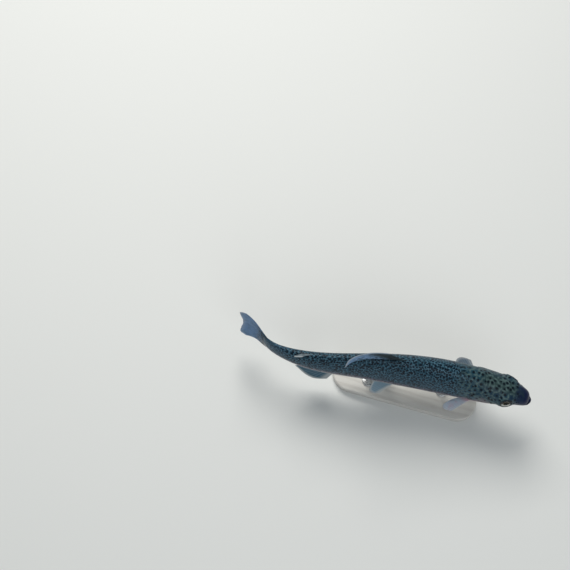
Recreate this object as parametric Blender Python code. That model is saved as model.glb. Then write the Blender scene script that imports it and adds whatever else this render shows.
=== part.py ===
"""A life-size rainbow trout, curved as it swims, held by two short rods over a flat base.

Units are metres, +Z is up, and the fish heads towards +X. Its flesh, jaw, gill covers and fins are first
shaped round a straight spine, in "spine space", and are then bent along the swimming curve:
    x  distance behind the tip of the snout, measured along the spine
    y  towards the fish's left
    z  towards its back
Sizes of the fish are shares of its total length, so one dimension scales all of it.
"""

import math
from typing import NamedTuple

import bmesh
import bpy
from mathutils import Vector

LENGTH = 0.400  # snout to tail tips, along the curved spine
GAP = 0.0003  # clearance where two pieces meet
SPINE_HEIGHT = 0.074  # of the spine above the floor
SNOUT_PLACE = Vector((0.19752, -0.00378))  # tip of the snout in plan

AROUND = 28  # points on each cross-section of the flesh
FIN_STEPS = 6  # rows of faces from a fin's root to its margin


class Station(NamedTuple):
    """One cross-section of the flesh, as shares of LENGTH."""

    at: float  # distance behind the snout
    top: float  # height of the back
    bottom: float  # height of the belly
    widest: float  # height at which the flanks are widest
    half_width: float
    crown: float  # below 1 the upper half is boxy, above 1 it narrows to a ridge
    keel: float  # the same for the lower half


STATIONS = (
    Station(0.000, -0.0160, -0.0160, -0.0160, 0.0000, 0.95, 1.00),
    Station(0.003, -0.0038, -0.0235, -0.0150, 0.0100, 0.95, 1.00),
    Station(0.012, 0.0120, -0.0315, -0.0070, 0.0198, 0.92, 1.05),
    Station(0.030, 0.0268, -0.0385, 0.0020, 0.0276, 0.90, 1.12),
    Station(0.055, 0.0394, -0.0460, 0.0060, 0.0340, 0.88, 1.15),
    Station(0.085, 0.0520, -0.0545, 0.0050, 0.0448, 0.88, 1.12),
    Station(0.130, 0.0670, -0.0670, 0.0020, 0.0515, 0.92, 1.05),
    Station(0.170, 0.0770, -0.0770, -0.0020, 0.0530, 0.96, 1.00),
    Station(0.205, 0.0845, -0.0840, -0.0060, 0.0520, 1.00, 0.97),
    Station(0.250, 0.0920, -0.0920, -0.0080, 0.0520, 1.00, 0.95),
    Station(0.320, 0.0990, -0.1000, -0.0080, 0.0505, 1.02, 0.93),
    Station(0.400, 0.1010, -0.1020, -0.0070, 0.0465, 1.03, 0.93),
    Station(0.470, 0.0980, -0.1000, -0.0060, 0.0415, 1.05, 0.95),
    Station(0.550, 0.0900, -0.0910, -0.0040, 0.0350, 1.05, 0.97),
    Station(0.630, 0.0790, -0.0770, -0.0020, 0.0300, 1.05, 1.00),
    Station(0.700, 0.0680, -0.0640, 0.0000, 0.0265, 1.03, 1.00),
    Station(0.760, 0.0570, -0.0530, 0.0000, 0.0225, 1.00, 1.00),
    Station(0.810, 0.0490, -0.0460, 0.0000, 0.0175, 1.00, 1.00),
    Station(0.850, 0.0445, -0.0435, 0.0000, 0.0130, 1.00, 1.00),
    Station(0.880, 0.0445, -0.0440, 0.0000, 0.0095, 1.00, 1.00),
    Station(0.910, 0.0465, -0.0465, 0.0000, 0.0040, 1.00, 1.00),
)

# Heading of the spine in plan, in degrees to the left of +X, at shares of LENGTH behind the snout.
HEADINGS = (
    (0.00, -5.0),
    (0.08, -0.9),
    (0.20, 1.6),
    (0.28, 4.0),
    (0.37, 7.0),
    (0.58, 11.5),
    (0.66, 10.0),
    (0.77, 0.0),
    (0.85, -13.0),
    (0.92, -39.0),
    (0.96, -24.0),
    (1.00, -6.0),
)
SPINE_STEPS = 400

# The flesh is parted across the spine at these shares of LENGTH.
HEAD_END = 0.203
TRUNK_PARTS = (
    ("trunk_front", HEAD_END, 0.400, 8),
    ("trunk_middle", 0.400, 0.600, 7),
    ("trunk_rear", 0.600, 0.790, 8),
    ("tail_stalk", 0.790, 0.910, 9),
)
HEAD_RINGS = 20

# The mouth seen from the side, as shares of LENGTH behind the snout and above the spine.
MOUTH_LINE = ((0.000, -0.0150), (0.030, -0.0195), (0.065, -0.0265), (0.100, -0.0360))
JAW_CORNER = (0.118, -0.0640)  # where the lower jaw's hind edge meets the throat

# The gill cover seen from the side is a tilted oval.
GILL_CENTRE = (0.1605, -0.0165)
GILL_HALF_LENGTH = 0.0365
GILL_HALF_HEIGHT = 0.0570
GILL_TILT = math.radians(14)  # lower end forward
GILL_DEPTH = 0.0028  # thickness of the plate, in metres
GILL_INNER = 0.008  # from the middle of the throat to the plate's lower edge, in metres
GILL_POINTS = 24

EYE_AT = 0.079
EYE_HEIGHT = 0.0160
EYE_RADIUS = 0.0080  # of the ball, in metres
EYE_FLATTEN = 0.53  # its depth over its diameter
EYE_DETAIL = 3
EYE_STANDS_OUT = 0.0014  # beyond the side of the head, in metres
ORBIT_RISE = 0.0020  # how far the flesh swells round the eye, in metres
ORBIT_REACH = 0.0098  # how far from the eye the swelling fades, in metres

BASE_LENGTH = 0.200
BASE_WIDTH = 0.054
BASE_THICKNESS = 0.010
BASE_EDGE = 0.0015
BASE_PLACE = Vector((0.0361, -0.01188))
ROD_RADIUS = 0.0032
ROD_FOOT_RADIUS = 0.0085
ROD_FOOT_HEIGHT = 0.0030
ROD_SIDES = 18
ROD_PLACES = (("stand_rod_front", 0.280), ("stand_rod_rear", 0.530))


class Colour(NamedTuple):
    """A finish: linear red, green and blue, roughness and metallic value."""

    rgb: tuple
    roughness: float
    metallic: float = 0.0


FLESH = Colour((0.045, 0.078, 0.085), 0.35)
JAW = Colour((0.110, 0.130, 0.120), 0.35)
GILL = Colour((0.080, 0.105, 0.100), 0.30, 0.2)
FIN = Colour((0.150, 0.180, 0.200), 0.40)
EYE = Colour((0.020, 0.022, 0.020), 0.08)
BASE = Colour((0.560, 0.535, 0.495), 0.45)
STEEL = Colour((0.600, 0.610, 0.620), 0.30, 1.0)


class Fin(NamedTuple):
    """A fin as a fan of rays. Each tuple is spread evenly from the first ray to the last."""

    name: str
    start: tuple  # root of the first ray: share of LENGTH behind the snout, degrees round from the back
    end: tuple  # root of the last ray
    out: tuple  # direction of a ray that isn't swept at all, in spine space
    lengths: tuple  # of the rays, as shares of LENGTH
    sweeps: tuple  # degrees from out towards the tail
    root_leans: tuple  # degrees out of the fin's plane, towards +Y, where the ray starts
    tip_leans: tuple  # the same where it ends
    thickness: tuple = (0.0016, 0.0007)  # at the root and at the margin, in metres
    columns: int = 13


MEDIAN_FINS = (
    Fin(
        "dorsal_fin",
        (0.424, 0),
        (0.546, 0),
        (0, 0, 1),
        (0.084, 0.096, 0.095, 0.091, 0.087, 0.083),
        (46, 52, 59, 66, 73, 79),
        (0, 0, 0, -1, -2, -6),
        (0, -2, -4, -9, -22, -52),
    ),
    Fin(
        "adipose_fin",
        (0.724, 0),
        (0.750, 0),
        (0, 0, 1),
        (0.036, 0.044, 0.040, 0.026),
        (54, 66, 74, 78),
        (-8, -8, -8, -8),
        (-46, -46, -46, -46),
        (0.0026, 0.0012),
        7,
    ),
    Fin(
        "anal_fin",
        (0.634, 180),
        (0.734, 180),
        (0, 0, -1),
        (0.062, 0.080, 0.079, 0.069, 0.057, 0.046),
        (34, 40, 46, 52, 58, 64),
        (-4, -4, -4, -4, -4, -4),
        (-24, -22, -20, -17, -14, -12),
    ),
)

# Fins of the left side. Those of the right side are their mirror images, swept by other angles.
PAIRED_FINS = (
    Fin(
        "pectoral_fin",
        (0.182, 123),
        (0.200, 139),
        (0.0, math.cos(math.radians(33)), -math.sin(math.radians(33))),
        (0.076, 0.091, 0.092, 0.080, 0.062, 0.043),
        (19, 29, 38, 46, 53, 59),
        (0, 0, 0, 0, 0, 0),
        (0, 2, 4, 6, 8, 10),
        (0.0026, 0.0008),
        12,
    ),
    Fin(
        "pelvic_fin",
        (0.438, 157),
        (0.464, 168),
        (0.0, math.cos(math.radians(38)), -math.sin(math.radians(38))),
        (0.066, 0.081, 0.082, 0.071, 0.057, 0.044),
        (48, 53, 58, 64, 70, 77),
        (0, 0, 0, 0, 0, 0),
        (0, 0, 2, 4, 6, 8),
        (0.0022, 0.0008),
        12,
    ),
)
RIGHT_SWEEPS = {
    "pectoral_fin": (45, 53, 59, 63, 65, 66),
    "pelvic_fin": (48, 54, 60, 66, 72, 78),
}

TAIL_ROOT = 0.884  # where the tail fin's rays start, as a share of LENGTH
TAIL_ROOT_HEIGHT = 0.0425
TAIL_FAN = 26  # degrees that the outer rays spread from the spine
TAIL_LENGTHS = (0.114, 0.132, 0.131, 0.125, 0.119, 0.117, 0.119, 0.125, 0.131, 0.132, 0.114)
TAIL_LEAN = 7  # degrees by which the lowest ray leans to the right
TAIL_COLUMNS = 20
TAIL_STEPS = 8
TAIL_THICKNESS = (0.0030, 0.0008)


def share(table, place):
    """Reads a table of (place, value) pairs with a smooth cubic through its points."""
    last = len(table) - 1
    index = 0
    while index < last - 1 and place > table[index + 1][0]:
        index += 1
    (x0, y0), (x1, y1) = table[index], table[index + 1]
    before, after = table[max(index - 1, 0)], table[min(index + 2, last)]
    slope0 = (y1 - before[1]) / (x1 - before[0])
    slope1 = (after[1] - y0) / (after[0] - x0)
    span = x1 - x0
    t = min(max((place - x0) / span, 0.0), 1.0)
    return (
        y0 * (1 + 2 * t) * (1 - t) ** 2
        + slope0 * span * t * (1 - t) ** 2
        + y1 * t * t * (3 - 2 * t)
        + slope1 * span * t * t * (t - 1)
    )


def even(values, u):
    """Reads a tuple of values spread evenly over u from 0 to 1."""
    last = len(values) - 1
    return share([(i / last, value) for i, value in enumerate(values)], u)


def section(at):
    """The cross-section at a share of LENGTH, with every size in metres.

    Reading the table over the square root of the distance makes the snout round."""
    root = math.sqrt(max(at, 0.0))
    fields = []
    for column in range(1, len(Station._fields)):
        table = [(math.sqrt(station[0]), station[column]) for station in STATIONS]
        fields.append(share(table, root))
    sizes = [value * LENGTH for value in fields[:4]]
    return Station(at * LENGTH, *sizes, *fields[4:])


def orbit_swell(at, height):
    """How far the flesh swells out round the eye, in metres, at a distance and a height in metres."""
    away = math.hypot(at - EYE_AT * LENGTH, height - EYE_HEIGHT * LENGTH) / ORBIT_REACH
    return ORBIT_RISE * math.exp(-away * away)


def skin_point(at, angle, grow=0.0):
    """A point on the flesh in spine space. The angle runs from the back round the left side, in radians."""
    here = section(at)
    side, height = math.sin(angle), math.cos(angle)
    power = here.crown if height > 0 else here.keel
    reach = here.top - here.widest if height > 0 else here.widest - here.bottom
    z = here.widest + height * (reach + grow)
    width = here.half_width + grow + orbit_swell(here.at, z)
    return Vector((here.at, math.copysign(abs(side) ** power, side) * width, z))


def make_spine():
    """Plan positions along the curved spine, from the snout back, one for each step."""
    step = LENGTH / SPINE_STEPS
    places = [SNOUT_PLACE.copy()]
    for i in range(SPINE_STEPS):
        heading = math.radians(share(HEADINGS, (i + 0.5) / SPINE_STEPS))
        places.append(places[-1] - step * Vector((math.cos(heading), math.sin(heading))))
    return places


SPINE = make_spine()


def bend(point):
    """Carries a point of spine space to its place round the curved spine."""
    along = point.x / LENGTH * SPINE_STEPS
    index = min(max(int(along), 0), SPINE_STEPS - 1)
    place = SPINE[index].lerp(SPINE[index + 1], along - index)
    heading = math.radians(share(HEADINGS, point.x / LENGTH))
    return Vector(
        (
            place.x - math.sin(heading) * point.y,
            place.y + math.cos(heading) * point.y,
            SPINE_HEIGHT + point.z,
        )
    )


def new_object(name, bm):
    """Closes off a bmesh as an object, with its faces pointing out."""
    bmesh.ops.recalc_face_normals(bm, faces=bm.faces)
    mesh = bpy.data.meshes.new(name)
    bm.to_mesh(mesh)
    bm.free()
    obj = bpy.data.objects.new(name, mesh)
    bpy.context.scene.collection.objects.link(obj)
    return obj


def loft(name, rings, tip=None):
    """A closed solid through rings of points, pointed at the start if a tip is given."""
    bm = bmesh.new()
    loops = [[bm.verts.new(point) for point in ring] for ring in rings]
    count = len(loops[0])
    for near, far in zip(loops, loops[1:]):
        for i in range(count):
            j = (i + 1) % count
            bm.faces.new((near[i], near[j], far[j], far[i]))
    if tip is None:
        bm.faces.new(loops[0])
    else:
        point = bm.verts.new(tip)
        for i in range(count):
            bm.faces.new((point, loops[0][(i + 1) % count], loops[0][i]))
    bm.faces.new(reversed(loops[-1]))
    return new_object(name, bm)


def ring(at, grow=0.0):
    return [skin_point(at, 2 * math.pi * i / AROUND, grow) for i in range(AROUND)]


def head_places(end):
    """Places of the rings from the snout to the end, close together where the snout is round."""
    return [end * (i / HEAD_RINGS) ** 1.6 for i in range(1, HEAD_RINGS + 1)]


def snout_loft(name, end, grow=0.0):
    """The flesh from the snout to the end, or a little more or less of it all round."""
    rings = [ring(at, grow) for at in head_places(end)]
    centre = skin_point(0.0, 0.0)
    tip = centre - Vector((grow, 0, 0))
    if grow < 0:
        rings = rings[HEAD_RINGS // 2 :]
        tip = None
    return loft(name, rings, tip)


def flank_prism(name, outline, low, high):
    """A prism whose outline is drawn on the fish's side, reaching from low to high across it."""
    bm = bmesh.new()
    face = bm.faces.new([bm.verts.new((x * LENGTH, low, z * LENGTH)) for x, z in outline])
    made = bmesh.ops.extrude_face_region(bm, geom=[face])
    moved = [item for item in made["geom"] if isinstance(item, bmesh.types.BMVert)]
    bmesh.ops.translate(bm, verts=moved, vec=(0, high - low, 0))
    return new_object(name, bm)


def combine(obj, operation, other):
    """Carries out a Boolean now, so that the result can be bent afterwards. The other object is left."""
    modifier = obj.modifiers.new(operation.lower(), "BOOLEAN")
    modifier.operation = operation
    modifier.object = other
    modifier.solver = "EXACT"
    bpy.context.view_layer.update()
    evaluated = obj.evaluated_get(bpy.context.evaluated_depsgraph_get())
    result = bpy.data.meshes.new_from_object(evaluated)
    obj.modifiers.clear()
    obj.data = result


def copy_of(obj, name):
    twin = obj.copy()
    twin.data = obj.data.copy()
    twin.name = name
    bpy.context.scene.collection.objects.link(twin)
    return twin


def discard(*objects):
    for obj in objects:
        bpy.data.objects.remove(obj)


def bend_object(obj):
    """Bends a piece. Spine space is left-handed, so the faces are turned round to point out again."""
    for vertex in obj.data.vertices:
        vertex.co = bend(vertex.co)
    obj.data.flip_normals()


def dress(obj, colour, smooth_angle=40):
    """Gives a finished piece its material and smooth shading."""
    material = bpy.data.materials.new(obj.name)
    material.use_nodes = True
    shader = material.node_tree.nodes["Principled BSDF"]
    shader.inputs["Base Color"].default_value = (*colour.rgb, 1)
    shader.inputs["Roughness"].default_value = colour.roughness
    shader.inputs["Metallic"].default_value = colour.metallic
    obj.data.materials.clear()
    obj.data.materials.append(material)
    obj.data.shade_smooth()
    obj.data.set_sharp_from_angle(angle=math.radians(smooth_angle))


def jaw_outline(slack):
    """The lower jaw seen from the side, with slack to spare along the mouth and the hind edge."""
    steps = 8
    rear = MOUTH_LINE[-1][0]
    mouth = []
    for i in range(steps + 1):
        x = rear * i / steps
        mouth.append((x, share(MOUTH_LINE, x) + slack))
    mouth[0] = (-0.02, mouth[0][1])
    below = -0.15
    slope = (JAW_CORNER[0] - rear) / (JAW_CORNER[1] - mouth[-1][1])
    foot = JAW_CORNER[0] + slope * (below - JAW_CORNER[1])
    mouth[-1] = (rear + slack, mouth[-1][1])
    return [*mouth, (foot + slack, below), (-0.02, below)]


def gill_outline(slack):
    outline = []
    for i in range(GILL_POINTS):
        turn = 2 * math.pi * i / GILL_POINTS
        along = (GILL_HALF_LENGTH + slack) * math.cos(turn)
        up = (GILL_HALF_HEIGHT + slack) * math.sin(turn)
        outline.append(
            (
                GILL_CENTRE[0] + along * math.cos(GILL_TILT) + up * math.sin(GILL_TILT),
                GILL_CENTRE[1] - along * math.sin(GILL_TILT) + up * math.cos(GILL_TILT),
            )
        )
    return outline


def head_side(at, height):
    """Half width of the head at a share of LENGTH behind the snout and a height above the spine."""
    here = section(at)
    upper = height * LENGTH > here.widest
    reach = here.top - here.widest if upper else here.widest - here.bottom
    cosine = abs(height * LENGTH - here.widest) / reach
    power = here.crown if upper else here.keel
    width = here.half_width + orbit_swell(here.at, height * LENGTH)
    return width * math.sqrt(1 - cosine * cosine) ** power


def eye_axis(side):
    """The way an eye looks, square to the side of the head. Side is 1 on the left, -1 on the right."""
    step = 0.002
    slope_back = head_side(EYE_AT + step, EYE_HEIGHT) - head_side(EYE_AT - step, EYE_HEIGHT)
    slope_up = head_side(EYE_AT, EYE_HEIGHT + step) - head_side(EYE_AT, EYE_HEIGHT - step)
    run = 2 * step * LENGTH
    return Vector((-slope_back / run, side, -slope_up / run)).normalized()


def eye_ball(name, side, grow=0.0):
    """One eye, a ball flattened along its axis."""
    axis = eye_axis(side)
    across = side * head_side(EYE_AT, EYE_HEIGHT)
    centre = Vector((EYE_AT * LENGTH, across, EYE_HEIGHT * LENGTH))
    centre += axis * (EYE_STANDS_OUT - EYE_RADIUS * EYE_FLATTEN)
    bm = bmesh.new()
    bmesh.ops.create_icosphere(bm, subdivisions=EYE_DETAIL, radius=EYE_RADIUS + grow)
    for vertex in bm.verts:
        vertex.co += centre - axis * vertex.co.dot(axis) * (1 - EYE_FLATTEN)
    return new_object(name, bm)


def build_head():
    """The head with its jaw, gill covers and eyes, each parted from it by a thin cut."""
    head = snout_loft("head", HEAD_END - GAP / LENGTH / 2)
    slack = GAP / LENGTH
    width = 0.1 * LENGTH
    pieces = [head]

    jaw = copy_of(head, "lower_jaw")
    jaw_space = flank_prism("jaw_space", jaw_outline(0), -width, width)
    jaw_cut = flank_prism("jaw_cut", jaw_outline(slack), -width, width)
    combine(jaw, "INTERSECT", jaw_space)
    combine(head, "DIFFERENCE", jaw_cut)
    pieces.append(jaw)
    discard(jaw_space, jaw_cut)

    core = snout_loft("core", HEAD_END + 0.01, -GILL_DEPTH)
    deep_core = snout_loft("deep_core", HEAD_END + 0.01, -GILL_DEPTH - GAP)
    for word, side in (("left", 1), ("right", -1)):
        plate = flank_prism("plate", gill_outline(0), *sorted((side * GILL_INNER, side * width)))
        inner = side * (GILL_INNER - GAP)
        recess = flank_prism("recess", gill_outline(slack), *sorted((inner, side * width)))
        combine(plate, "DIFFERENCE", core)
        combine(recess, "DIFFERENCE", deep_core)
        cover = copy_of(head, f"gill_cover_{word}")
        combine(cover, "INTERSECT", plate)
        combine(head, "DIFFERENCE", recess)
        pieces.append(cover)
        discard(plate, recess)
    discard(core, deep_core)

    for word, side in (("left", 1), ("right", -1)):
        socket = eye_ball("socket", side, GAP)
        combine(head, "DIFFERENCE", socket)
        discard(socket)
        pieces.append(eye_ball(f"eye_{word}", side))
    return pieces


def build_trunk():
    pieces = []
    for name, start, end, steps in TRUNK_PARTS:
        first = start + GAP / LENGTH / 2
        last = end - GAP / LENGTH / 2
        rings = [ring(first + (last - first) * i / steps) for i in range(steps + 1)]
        pieces.append(loft(name, rings))
    return pieces


def ray_points(root, out, length, sweep, root_lean, tip_lean, steps):
    """Points along one ray, which starts at its root and leans more and more to one side."""
    back = Vector((1, 0, 0))
    flat = math.cos(sweep) * out + math.sin(sweep) * back
    side = out.cross(back).normalized()
    if side.y < 0 or (side.y == 0 and side.z < 0):
        side.negate()
    points = [root]
    for i in range(steps):
        lean = root_lean + (tip_lean - root_lean) * (i + 0.5) / steps
        points.append(points[-1] + length / steps * (math.cos(lean) * flat + math.sin(lean) * side))
    return points


def fin_rays(fin):
    """The middle surface of a fin, as one list of points for each ray."""
    rays = []
    sink = 0.0015  # how far the roots start inside the flesh, before they are cut
    for column in range(fin.columns + 1):
        u = column / fin.columns
        at = fin.start[0] + (fin.end[0] - fin.start[0]) * u
        angle = math.radians(fin.start[1] + (fin.end[1] - fin.start[1]) * u)
        root = skin_point(at, angle, -sink)
        rays.append(
            ray_points(
                root,
                Vector(fin.out),
                even(fin.lengths, u) * LENGTH + sink,
                math.radians(even(fin.sweeps, u)),
                math.radians(even(fin.root_leans, u)),
                math.radians(even(fin.tip_leans, u)),
                FIN_STEPS,
            )
        )
    return rays


def tail_rays():
    """The middle surface of the tail fin, whose rays fan out from the end of the flesh."""
    rays = []
    for column in range(TAIL_COLUMNS + 1):
        u = column / TAIL_COLUMNS
        height = TAIL_ROOT_HEIGHT * (1 - 2 * u)
        fan = math.radians(TAIL_FAN) * math.copysign(abs(1 - 2 * u) ** 0.85, 1 - 2 * u)
        root = Vector((TAIL_ROOT * LENGTH, 0, height * LENGTH))
        reach = even(TAIL_LENGTHS, u) * LENGTH
        lean = math.radians(TAIL_LEAN) * max(2 * u - 1, 0)
        along = Vector((math.cos(fan), -math.sin(lean), math.sin(fan))).normalized()
        rays.append([root + along * reach * i / TAIL_STEPS for i in range(TAIL_STEPS + 1)])
    return rays


def fin_solid(name, rays, thickness):
    """Gives a fin's middle surface its thickness, which thins towards the margin."""
    columns, rows = len(rays) - 1, len(rays[0]) - 1
    bm = bmesh.new()
    sides = ([], [])
    for i in range(columns + 1):
        before, after = rays[max(i - 1, 0)], rays[min(i + 1, columns)]
        for side in sides:
            side.append([])
        for j in range(rows + 1):
            along = rays[i][min(j + 1, rows)] - rays[i][max(j - 1, 0)]
            normal = along.cross(after[j] - before[j]).normalized()
            half = (thickness[0] + (thickness[1] - thickness[0]) * j / rows) / 2
            sides[0][i].append(bm.verts.new(rays[i][j] + normal * half))
            sides[1][i].append(bm.verts.new(rays[i][j] - normal * half))
    for side in sides:
        for i in range(columns):
            for j in range(rows):
                bm.faces.new((side[i][j], side[i + 1][j], side[i + 1][j + 1], side[i][j + 1]))
    border = [(i, 0) for i in range(columns)] + [(columns, j) for j in range(rows)]
    border += [(i, rows) for i in range(columns, 0, -1)] + [(0, j) for j in range(rows, 0, -1)]
    for (i, j), (k, m) in zip(border, border[1:] + border[:1]):
        bm.faces.new((sides[0][i][j], sides[0][k][m], sides[1][k][m], sides[1][i][j]))
    return new_object(name, bm)


def build_fins():
    """Every fin, cut off where it meets the flesh."""
    last = TRUNK_PARTS[-1][2]
    places = [0.15 + (last - 0.15) * i / 48 for i in range(49)]
    flesh = loft("flesh", [ring(at, GAP) for at in places])
    pieces = []
    for fin in MEDIAN_FINS:
        pieces.append(fin_solid(fin.name, fin_rays(fin), fin.thickness))
    for fin in PAIRED_FINS:
        pieces.append(fin_solid(f"{fin.name}_left", fin_rays(fin), fin.thickness))
        twin = fin._replace(sweeps=RIGHT_SWEEPS[fin.name])
        rays = [[Vector((p.x, -p.y, p.z)) for p in ray] for ray in fin_rays(twin)]
        pieces.append(fin_solid(f"{fin.name}_right", rays, fin.thickness))
    pieces.append(fin_solid("caudal_fin", tail_rays(), TAIL_THICKNESS))
    for piece in pieces:
        combine(piece, "DIFFERENCE", flesh)
    discard(flesh)
    return pieces


def build_base():
    """A flat base with round ends."""
    radius = BASE_WIDTH / 2
    straight = BASE_LENGTH / 2 - radius
    quarter = 7
    bm = bmesh.new()
    outline = []
    for end, first in ((1, -90), (-1, 90)):
        for i in range(2 * quarter + 1):
            turn = math.radians(first + 90 * i / quarter)
            centre = BASE_PLACE + Vector((end * straight, 0))
            x = centre.x + radius * math.cos(turn)
            y = centre.y + radius * math.sin(turn)
            outline.append(bm.verts.new((x, y, 0)))
    made = bmesh.ops.extrude_face_region(bm, geom=[bm.faces.new(outline)])
    top = [item for item in made["geom"] if isinstance(item, bmesh.types.BMVert)]
    bmesh.ops.translate(bm, verts=top, vec=(0, 0, BASE_THICKNESS))
    rim = [edge for edge in bm.edges if all(v.co.z > BASE_THICKNESS / 2 for v in edge.verts)]
    bmesh.ops.bevel(bm, geom=rim, offset=BASE_EDGE, segments=2, profile=0.5, affect="EDGES")
    return new_object("stand_base", bm)


def build_rods():
    """Turned rods that stand on the base and reach up to the belly, each with a round foot."""
    last = ROD_PLACES[-1][1] + 0.15
    first = ROD_PLACES[0][1] - 0.15
    places = [first + (last - first) * i / 24 for i in range(25)]
    flesh = loft("flesh", [ring(at, GAP) for at in places])
    bend_object(flesh)
    rods = []
    for name, at in ROD_PLACES:
        belly = bend(skin_point(at, math.pi))
        foot = BASE_THICKNESS + GAP
        height = belly.z + ROD_RADIUS - foot
        profile = (
            (0, 0),
            (ROD_FOOT_RADIUS, 0),
            (ROD_FOOT_RADIUS, ROD_FOOT_HEIGHT * 0.6),
            (ROD_FOOT_RADIUS * 0.8, ROD_FOOT_HEIGHT),
            (ROD_RADIUS, ROD_FOOT_HEIGHT),
            (ROD_RADIUS, height),
            (0, height),
        )
        bm = bmesh.new()
        line = [bm.verts.new((radius, 0, z)) for radius, z in profile]
        edges = [bm.edges.new(pair) for pair in zip(line, line[1:])]
        bmesh.ops.spin(
            bm,
            geom=line + edges,
            cent=(0, 0, 0),
            axis=(0, 0, 1),
            angle=2 * math.pi,
            steps=ROD_SIDES,
        )
        bmesh.ops.remove_doubles(bm, verts=bm.verts, dist=GAP / 10)
        bmesh.ops.translate(bm, verts=bm.verts, vec=(belly.x, belly.y, foot))
        rod = new_object(name, bm)
        combine(rod, "DIFFERENCE", flesh)
        rods.append(rod)
    discard(flesh)
    return rods


def colour_of(name):
    if name.endswith("_jaw"):
        return JAW
    if name.startswith("gill_cover"):
        return GILL
    if name.startswith("eye"):
        return EYE
    if "_fin" in name:
        return FIN
    if name == "stand_base":
        return BASE
    if name.startswith("stand_rod"):
        return STEEL
    return FLESH


def main():
    for obj in list(bpy.data.objects):
        bpy.data.objects.remove(obj)
    fish = build_head() + build_trunk() + build_fins()
    for piece in fish:
        bend_object(piece)
    for piece in [*fish, build_base(), *build_rods()]:
        dress(piece, colour_of(piece.name))


main()
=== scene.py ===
"""The looks of a life-size rainbow trout model, which swims in a curve over a plain display stand.

Units are metres, +Z is up, and the fish heads towards +X. Its skin, scales, fins and eyes are shaped round a
straight spine, in "spine space", and are then bent along the swimming curve:
    x  distance behind the tip of the snout, measured along the spine
    y  towards the fish's left
    z  towards its back
Places along the fish and sizes of its parts are shares of its total length unless a note says otherwise.
Angles round the body start at the back and grow over the left side.
"""

import logging
import math
from contextlib import contextmanager
from dataclasses import dataclass
from enum import Enum
from functools import reduce
from typing import Callable, Iterator, NamedTuple, Optional, Sequence, Union

import bmesh
import bpy
import numpy as np
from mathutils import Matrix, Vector


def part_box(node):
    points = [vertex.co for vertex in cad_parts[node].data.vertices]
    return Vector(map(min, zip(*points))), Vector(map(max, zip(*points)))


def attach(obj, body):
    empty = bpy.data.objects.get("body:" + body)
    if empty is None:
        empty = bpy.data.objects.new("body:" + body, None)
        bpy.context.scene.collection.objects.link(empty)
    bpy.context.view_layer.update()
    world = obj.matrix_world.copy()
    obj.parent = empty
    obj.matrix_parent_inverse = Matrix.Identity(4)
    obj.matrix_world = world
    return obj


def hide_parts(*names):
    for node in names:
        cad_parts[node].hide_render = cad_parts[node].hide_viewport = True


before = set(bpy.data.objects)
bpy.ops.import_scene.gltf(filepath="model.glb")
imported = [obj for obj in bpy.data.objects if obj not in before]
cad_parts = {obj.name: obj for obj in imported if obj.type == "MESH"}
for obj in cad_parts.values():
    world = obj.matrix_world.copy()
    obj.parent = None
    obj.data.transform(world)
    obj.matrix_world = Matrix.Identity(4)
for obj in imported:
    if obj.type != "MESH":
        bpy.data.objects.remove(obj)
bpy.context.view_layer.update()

logging.basicConfig(level=logging.INFO, format="%(message)s", force=True)
log = logging.getLogger("trout")

LENGTH = 0.400  # of the fish along its spine, in metres
TURN = 2 * math.pi
BODY = "root"
BAKE_MAP = "OFBake"

Colour = tuple[float, float, float]
Place = tuple[float, float, float]
Pair = tuple[float, float]
Table = tuple[Pair, ...]
Stops = tuple[tuple[float, Colour], ...]
Array = np.ndarray
Values = Union[Array, float]
Out = bpy.types.NodeSocket
Node = bpy.types.Node
Piece = bpy.types.Object
Socket = Union[Out, float, int, tuple]


# Form of the fish
# -------


class Station(NamedTuple):
    """One cross-section of the flesh, as shares of the fish's length."""

    at: float
    top: float
    bottom: float
    widest: float
    half_width: float
    crown: float
    keel: float


def smooth_table(places: Sequence[float], values: Sequence[float], at: Values) -> Array:
    """Reads a table with a smooth cubic through its points.

    Args:
        places: Where the values stand, rising.
        values: One value for each place.
        at: The places to read.

    Returns:
        The values there, in the shape of at.
    """
    x, y = np.asarray(places, float), np.asarray(values, float)
    at = np.asarray(at, float)
    last = len(x) - 1
    low = np.clip(np.searchsorted(x, at, side="left") - 1, 0, last - 1)
    before, after = np.maximum(low - 1, 0), np.minimum(low + 2, last)
    slope0 = (y[low + 1] - y[before]) / (x[low + 1] - x[before])
    slope1 = (y[after] - y[low]) / (x[after] - x[low])
    span = x[low + 1] - x[low]
    t = np.clip((at - x[low]) / span, 0, 1)
    start = y[low] * (1 + 2 * t) * (1 - t) ** 2 + slope0 * span * t * (1 - t) ** 2
    return start + y[low + 1] * t * t * (3 - 2 * t) + slope1 * span * t * t * (t - 1)


def even(values: Sequence[float], u: Array) -> Array:
    """Reads values that are spread evenly over u from 0 to 1."""
    return smooth_table(np.linspace(0, 1, len(values)), values, u)


def rise(value: Values, low: Values, high: Values) -> Array:
    """Goes smoothly from 0 at low to 1 at high, or the other way if high is the smaller."""
    t = np.clip((np.asarray(value, float) - low) / (high - low), 0, 1)
    return t * t * (3 - 2 * t)


def plateau(value: Values, start: Values, full: Values, fades: Values, gone: Values) -> Array:
    """Rises from 0 at start to 1 at full, and falls from 1 at fades to 0 at gone."""
    return rise(value, start, full) * rise(value, gone, fades)


def bell(value: Values, width: Values) -> Array:
    """A smooth hump, 1 at 0 and fading over the width."""
    return np.exp(-((value / width) ** 2))


def from_back(angle: Values) -> Array:
    """Degrees between an angle round the body and the back, the same on both sides."""
    return np.degrees(np.abs(np.mod(np.asarray(angle, float) + math.pi, TURN) - math.pi))


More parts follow.
